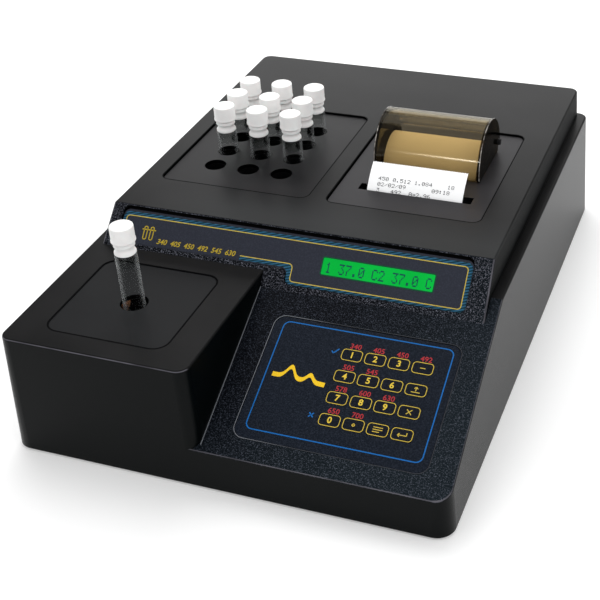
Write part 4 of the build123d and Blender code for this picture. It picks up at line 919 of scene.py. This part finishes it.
def key_sign(sign, x, y):
    """What is printed on one key."""
    if sign.isdigit():
        return [lettering(sign, x, y, 5.0, "digit_yellow", weight=0.12)]
    width = 1.1 if sign == "dot" else 0.45
    ends = [((x + a, y + b), (x + c, y + d)) for a, b, c, d in STROKES[sign]]
    return [bar(start, end, width, "pale_yellow", INK) for start, end in ends]


def keypad_prints():
    """The lines and signs on the keys and on the overlay round them."""
    for index, sign in enumerate(KEY_SIGNS):
        x, y = key_place(index)
        half, high = KEY_HALF
        sides = (x - half, x + half, y - high, y + high)
        outline = ring("outline", *sides, KEY_RADIUS, KEY_LINE, "pale_yellow", INK)
        name = "key_%d" % (index + 1)
        finish_print([outline] + key_sign(sign, x, y), name + "_print", KEY_BOARD, name)
    frame_line = ring("frame_line", *FRAME_LINE, "blue", INK)
    finish_print([frame_line], "keypad_line", KEYPAD_BOARD, "housing")
    numbers = []
    for index, number in enumerate(RED_NUMBERS):
        if number:
            x, y = key_place(index)
            numbers.append(lettering(number, x + 0.6, y + 5.4, 4.3, "red", weight=0.06))
    finish_print(numbers, "wavelengths", KEYPAD_BOARD, "housing")
    blue_signs = [bar((a, b), (c, d), 0.7, "blue", INK) for a, b, c, d in TICK + CROSS]
    finish_print(blue_signs, "yes_and_no", KEYPAD_BOARD, "housing")


def absorbance(share):
    """The height of the printed curve: two peaks on a slowly falling line."""
    first = 6.2 * exp(-((share - 0.30) / 0.10) ** 2)
    second = 3.8 * exp(-((share - 0.68) / 0.085) ** 2)
    return 50.6 + 1.2 * (1 - share) + first + second


def curve_print():
    """A bold yellow absorbance curve beside the keys."""
    left, right, steps, bold = 12.6, 42.6, 60, 2.7
    run = (right - left) / steps
    open_plate(left, left + run, absorbance(0) - bold / 2, absorbance(0) + bold / 2)
    pick("edge", lambda co: abs(co.x - (left + run) * MM) < SAME)
    for step in range(1, steps):
        pull(run, absorbance(step / steps) - absorbance((step - 1) / steps))
    curve = thicken(named("curve", "bold_yellow"), INK)
    finish_print([curve], "absorbance_curve", KEYPAD_BOARD, "housing")


# The height of each sunken plate, its sides and corner radius, and the line's width
SEAMS = [
    ("incubator", HOUSING_TOP, (-102.8, -6.7, 153.2, 265.2, 6.0, 0.65)),
    ("printer", HOUSING_TOP, (3.4, 97.2, 153.2, 265.2, 6.0, 0.65)),
    ("cell_cover", BLOCK_TOP, (-103.9, -31.7, 16.9, 89.1, 8.9, 1.0)),
]
SEAM_HEIGHT = 0.015


def seams():
    """The shadow lines round the sunken plates, painted along their real gaps."""
    for name, height, outline in SEAMS:
        line = ring(name + "_seam", *outline, "recess_shade", SEAM_HEIGHT)
        board = Matrix.Translation(spot(0, 0, height))
        finish_print([line], line.name, board, "housing")


# Tubes and stoppers

# Points of radius and height: the tube's from its foot, the others' from the tube's rim
TUBE_PROFILE = [
    (0, 0), (1.6, 0.22), (3.1, 0.86), (4.4, 1.92), (5.3, 3.19), (5.83, 4.6), (6.0, 6.0),
    (6.0, 74.6), (5.85, 75.0), (5.35, 75.0), (5.2, 74.6), (5.2, 6.0), (5.05, 4.75), (4.55, 3.48),
    (3.7, 2.35), (2.6, 1.5), (1.3, 0.97), (0, 0.8),
]
CAP_PROFILE = [
    (0, 0.0), (5.7, 0.0), (5.95, 0.25), (5.95, 0.95), (5.8, 1.3), (5.2, 2.0), (4.9, 2.7),
    (4.9, 3.5), (5.1, 4.1), (5.6, 4.5), (5.8, 4.8), (5.8, 5.5), (5.65, 5.85), (5.4, 6.3),
    (5.45, 7.0), (5.7, 7.4), (6.55, 7.5), (6.7, 7.65), (6.7, 8.3), (6.55, 8.55), (6.45, 8.8),
    (6.45, 15.7), (6.3, 16.15), (5.9, 16.4), (5.2, 16.5), (0, 16.45),
]
PLUG_PROFILE = [
    (0, -2.0), (3.9, -2.0), (3.9, -7.7), (4.2, -8.0), (4.6, -8.0), (4.9, -7.6), (4.9, -0.05),
    (0, -0.05),
]


def well_place(well):
    """Where a well stands, counted from the front left one, three to a row."""
    return FIRST_WELL[0] + WELL_PITCH[0] * (well % 3), FIRST_WELL[1] + WELL_PITCH[1] * (well // 3)


def tubes_and_stoppers():
    """Ten glass tubes with white stoppers on clear plugs, copied from one of each."""
    originals = {
        "glass": turned("glass_tube", TUBE_PROFILE, "glass"),
        "stopper": turned("stopper", CAP_PROFILE, "stopper"),
        "plug": turned("clear_plug", PLUG_PROFILE, "plug"),
    }
    foot = {"glass": TUBE_RIM - TUBE_LENGTH, "stopper": TUBE_RIM, "plug": TUBE_RIM}
    for well in range(9):
        number = well + 1
        for kind, original in originals.items():
            piece = own_copy(original, "tube_%d_%s" % (number, kind))
            lay(piece, Matrix.Translation(spot(*well_place(well), foot[kind])))
            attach(piece, "tube_%d" % number)
            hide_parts("stoppered_tube_%d" % number)
    for kind, original in originals.items():
        node = "cell_tube" if kind == "glass" else "cell_cap"
        lay(original, Matrix.Translation(spot(*MEASURING_CELL, foot[kind])))
        original.name = "measuring_" + kind
        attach(original, node)
        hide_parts(node)


# Paper

STRIP_LEFT, STRIP_RIGHT, STRIP_THICKNESS = 22.6, 80.6, 0.25
STRIP_TEETH, TOOTH_DEPTH = 72, 0.55
TORN_END, BEND_HEIGHT, BEND_RADIUS, LEAN = (189.0, 101.3), 86.5, 6.0, radians(38)
PRINT_PITCH, PRINT_HEIGHT, PRINT_LEFT = (0.37, 0.33), 2.4, 28.5
PRINT_LIFT, PRINT_THICKNESS = 0.005, 0.02

# How far each printed row lies from the torn end, and its figures
PRINT_ROWS = (
    (9.0, "450 0.512 1.084    18"),
    (12.5, "02/02/09       09:18"),
    (16.0, "3   492  A=2.96"),
)


def arc_points(start, heading, end, steps):
    """Points along the arc that leaves a start with a heading and meets an end."""
    chord = end - start
    half = Vector(heading).angle_signed(chord)
    radius = chord.length / (2 * sin(half))
    side = Vector((heading[1], -heading[0]))
    centre = start + side * radius
    arm = start - centre
    return [centre + Matrix.Rotation(-2 * half * i / steps, 2) @ arm for i in range(1, steps + 1)]


def strip_path():
    """The paper's way in a side view: off the roll, round the platen, up the slot and free."""
    roll, platen = Vector(ROLL_AXIS), Vector(PLATEN_AXIS)
    run = roll - platen
    along = (PLATEN_RADIUS - ROLL_RADIUS) / run.length
    across = (1 - along ** 2) ** 0.5
    normal = Vector((along * run.x + across * run.y, along * run.y - across * run.x)) / run.length
    start, touch = roll + normal * ROLL_RADIUS, platen + normal * PLATEN_RADIUS
    leave = platen - Vector((PLATEN_RADIUS, 0))
    bend = Vector((leave.x, BEND_HEIGHT))
    free = bend + Vector((BEND_RADIUS * (1 - cos(LEAN)), BEND_RADIUS * sin(LEAN)))
    points = [start, touch] + arc_points(touch, (touch - start).normalized(), leave, 14) + [bend]
    points += arc_points(bend, Vector((0, 1)), free, 6)
    return points + arc_points(free, Vector((sin(LEAN), cos(LEAN))), Vector(TORN_END), 14)


def paper_strip(path):
    """The strip, drawn off the roll along its path, with a torn and finely toothed end."""
    clear_selection()

    # One edge of a plane is kept, and drawn along the path
    bpy.ops.mesh.primitive_plane_add(size=1, enter_editmode=True)
    pick("corner", lambda co: co.y > 0)
    bpy.ops.mesh.delete(type="VERT")
    pick_all()
    width = STRIP_RIGHT - STRIP_LEFT
    bpy.ops.transform.resize(value=(width * MM, 1, 1), center_override=(0, -0.5, 0))
    first = spot((STRIP_LEFT + STRIP_RIGHT) / 2, path[0].x, path[0].y)
    bpy.ops.transform.translate(value=first - Vector((0, -0.5, 0)))
    for here, after in zip(path, path[1:]):
        pull(0, *(after - here))
    end = spot(0, path[-1].x, path[-1].y)

    def torn(co):
        return (co.yz - end.yz).length < 10 * SAME

    # Every other point along the torn end is moved back
    tooth = width / STRIP_TEETH
    pick("edge", torn)
    bpy.ops.mesh.subdivide(number_cuts=STRIP_TEETH - 1)
    pick("corner", lambda co: torn(co) and round((co.x / MM - STRIP_LEFT) / tooth) % 2 == 1)
    back = (path[-2] - path[-1]).normalized() * TOOTH_DEPTH * MM
    bpy.ops.transform.translate(value=(0, back.x, back.y))
    face_outwards()
    strip = thicken(named("printed_strip", "strip"), STRIP_THICKNESS, 0.0)
    bpy.ops.object.shade_smooth_by_angle(angle=SHARP_TURN)
    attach(strip, "housing")
    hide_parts("paper_strip")


def paper_print(path):
    """Rows of figures in fine dots, on the front of the strip."""
    printed = []
    for back_from_end, text in PRINT_ROWS:
        rest = back_from_end + PRINT_HEIGHT
        place = len(path) - 1
        while (path[place - 1] - path[place]).length < rest:
            rest -= (path[place - 1] - path[place]).length
            place -= 1
        up = (path[place] - path[place - 1]).normalized()
        out = Vector((-up.y, up.x))
        foot = path[place] - up * rest + out * (STRIP_THICKNESS / 2 + PRINT_LIFT)
        words = dot_text(text, PRINT_LEFT, 0, PRINT_PITCH, "print", PRINT_THICKNESS)
        printed.append(lay(words, board_at(spot(0, *foot), Vector((0, *up)))))
    print_rows = joined(printed, "paper_print")
    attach(print_rows, "housing")


RIM_FROM, RIM_TURN, RIM_RADIUS, RIM_INSET = radians(9), radians(172), 0.24, 0.4


def cover_rims():
    """The rounded front rims of the two acrylic cheeks, swept round the cover's curve."""
    centre = spot(0, *COVER_AXIS)
    off_middle = COVER_HALF - RIM_INSET
    for name, x in (("left", ROLL_MIDDLE - off_middle), ("right", ROLL_MIDDLE + off_middle)):
        clear_selection()
        start = centre + Vector((x, -COVER_RIM * cos(RIM_FROM), -COVER_RIM * sin(RIM_FROM))) * MM
        bpy.ops.mesh.primitive_circle_add(vertices=10, radius=RIM_RADIUS * MM, enter_editmode=True)
        bpy.ops.transform.translate(value=start)
        pick_all()
        bpy.ops.mesh.spin(steps=40, angle=RIM_TURN, center=centre, axis=(1, 0, 0))
        face_outwards()
        # The rims' finish paints bright highlight patches on them
        rim = named(name + "_cheek_rim", "edge")
        bpy.ops.object.shade_smooth()
        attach(rim, "roll_cover")


# Floor and light, in metres

FLOOR_SIZE, FLOOR_PLACE = 8, (0, 1.0, -0.0002)
FLOOR_GLOW, WORLD_LIGHT, WORLD_GLOSS = 0.2, 0.8, 0.22


def floor_finish():
    """Plain white paper that shows white to the eye and still takes a shadow."""
    finish = Finish("studio_floor", (0.86, 0.86, 0.86), 0.9, specular=0.1)
    finish.relief(finish.noise(3.0), 0.02, 0.1)
    finish.set("Emission Color", (1, 1, 1, 1))
    finish.set("Emission Strength", finish.maths("MULTIPLY", finish.seen(), FLOOR_GLOW))
    return finish.material


# Name, place and size in metres, power, and whether it gives diffuse light and shows in gloss
LAMPS = [
    ("key_lamp", (-0.30, 0.50, 1.25), (0.9, 0.9), 8.0, True, False),
    ("fill_lamp", (0.9, -0.3, 0.9), (0.6, 0.6), 2.0, True, False),
    ("back_lamp", (-0.42, 1.75, 0.66), (1.7, 1.0), 10.8, True, True),
    ("front_lamp", (-0.16, -1.13, 0.36), (0.24, 0.05), 1.0, False, True),
    ("top_lamp", (-0.40, 0.57, 1.21), (0.9, 0.75), 2.5, False, True),
]


def set_up_floor():
    clear_selection()
    bpy.ops.mesh.primitive_plane_add(size=FLOOR_SIZE, location=FLOOR_PLACE)
    floor = bpy.context.object
    floor.name = "floor"
    floor.data.materials.append(floor_finish())


def set_up_world():
    """Plain white all round, a little weaker as light and much weaker in gloss."""
    world = bpy.context.scene.world = bpy.data.worlds.new("studio")
    world.use_nodes = True
    surround = Nodes(world.node_tree)
    background = surround.nodes["Background"].inputs
    glossy = surround.nodes.new("ShaderNodeLightPath").outputs["Is Glossy Ray"]
    plain = surround.span(surround.seen(), 0.0, 1.0, WORLD_LIGHT, 1.0)
    in_gloss = surround.span(glossy, 0.0, 1.0, 1.0, WORLD_GLOSS)
    surround.feed(background["Strength"], surround.maths("MULTIPLY", plain, in_gloss))
    surround.feed(background["Color"], (1, 1, 1, 1))


def set_up_lamps():
    """Flat lamps that face the middle of the instrument's foot."""
    for name, place, size, power, diffuse, glossy in LAMPS:
        lamp = bpy.data.objects.new(name, bpy.data.lights.new(name, "AREA"))
        lamp.data.shape = "RECTANGLE"
        (lamp.data.size, lamp.data.size_y), lamp.data.energy = size, power
        turn = Vector(place).to_track_quat("Z", "Y").to_matrix().to_4x4()
        lamp.matrix_world = Matrix.Translation(place) @ turn
        lamp.visible_diffuse, lamp.visible_glossy = diffuse, glossy
        bpy.context.scene.collection.objects.link(lamp)


set_up_camera()
finish_nodes()
fascia_border()
slope_highlight_lips()
display_window()
fascia_marks()
keypad_prints()
curve_print()
tubes_and_stoppers()
paper_way = strip_path()
paper_strip(paper_way)
paper_print(paper_way)
seams()
cover_rims()
set_up_floor()
set_up_world()
set_up_lamps()
bpy.context.scene.view_settings.view_transform = "Standard"
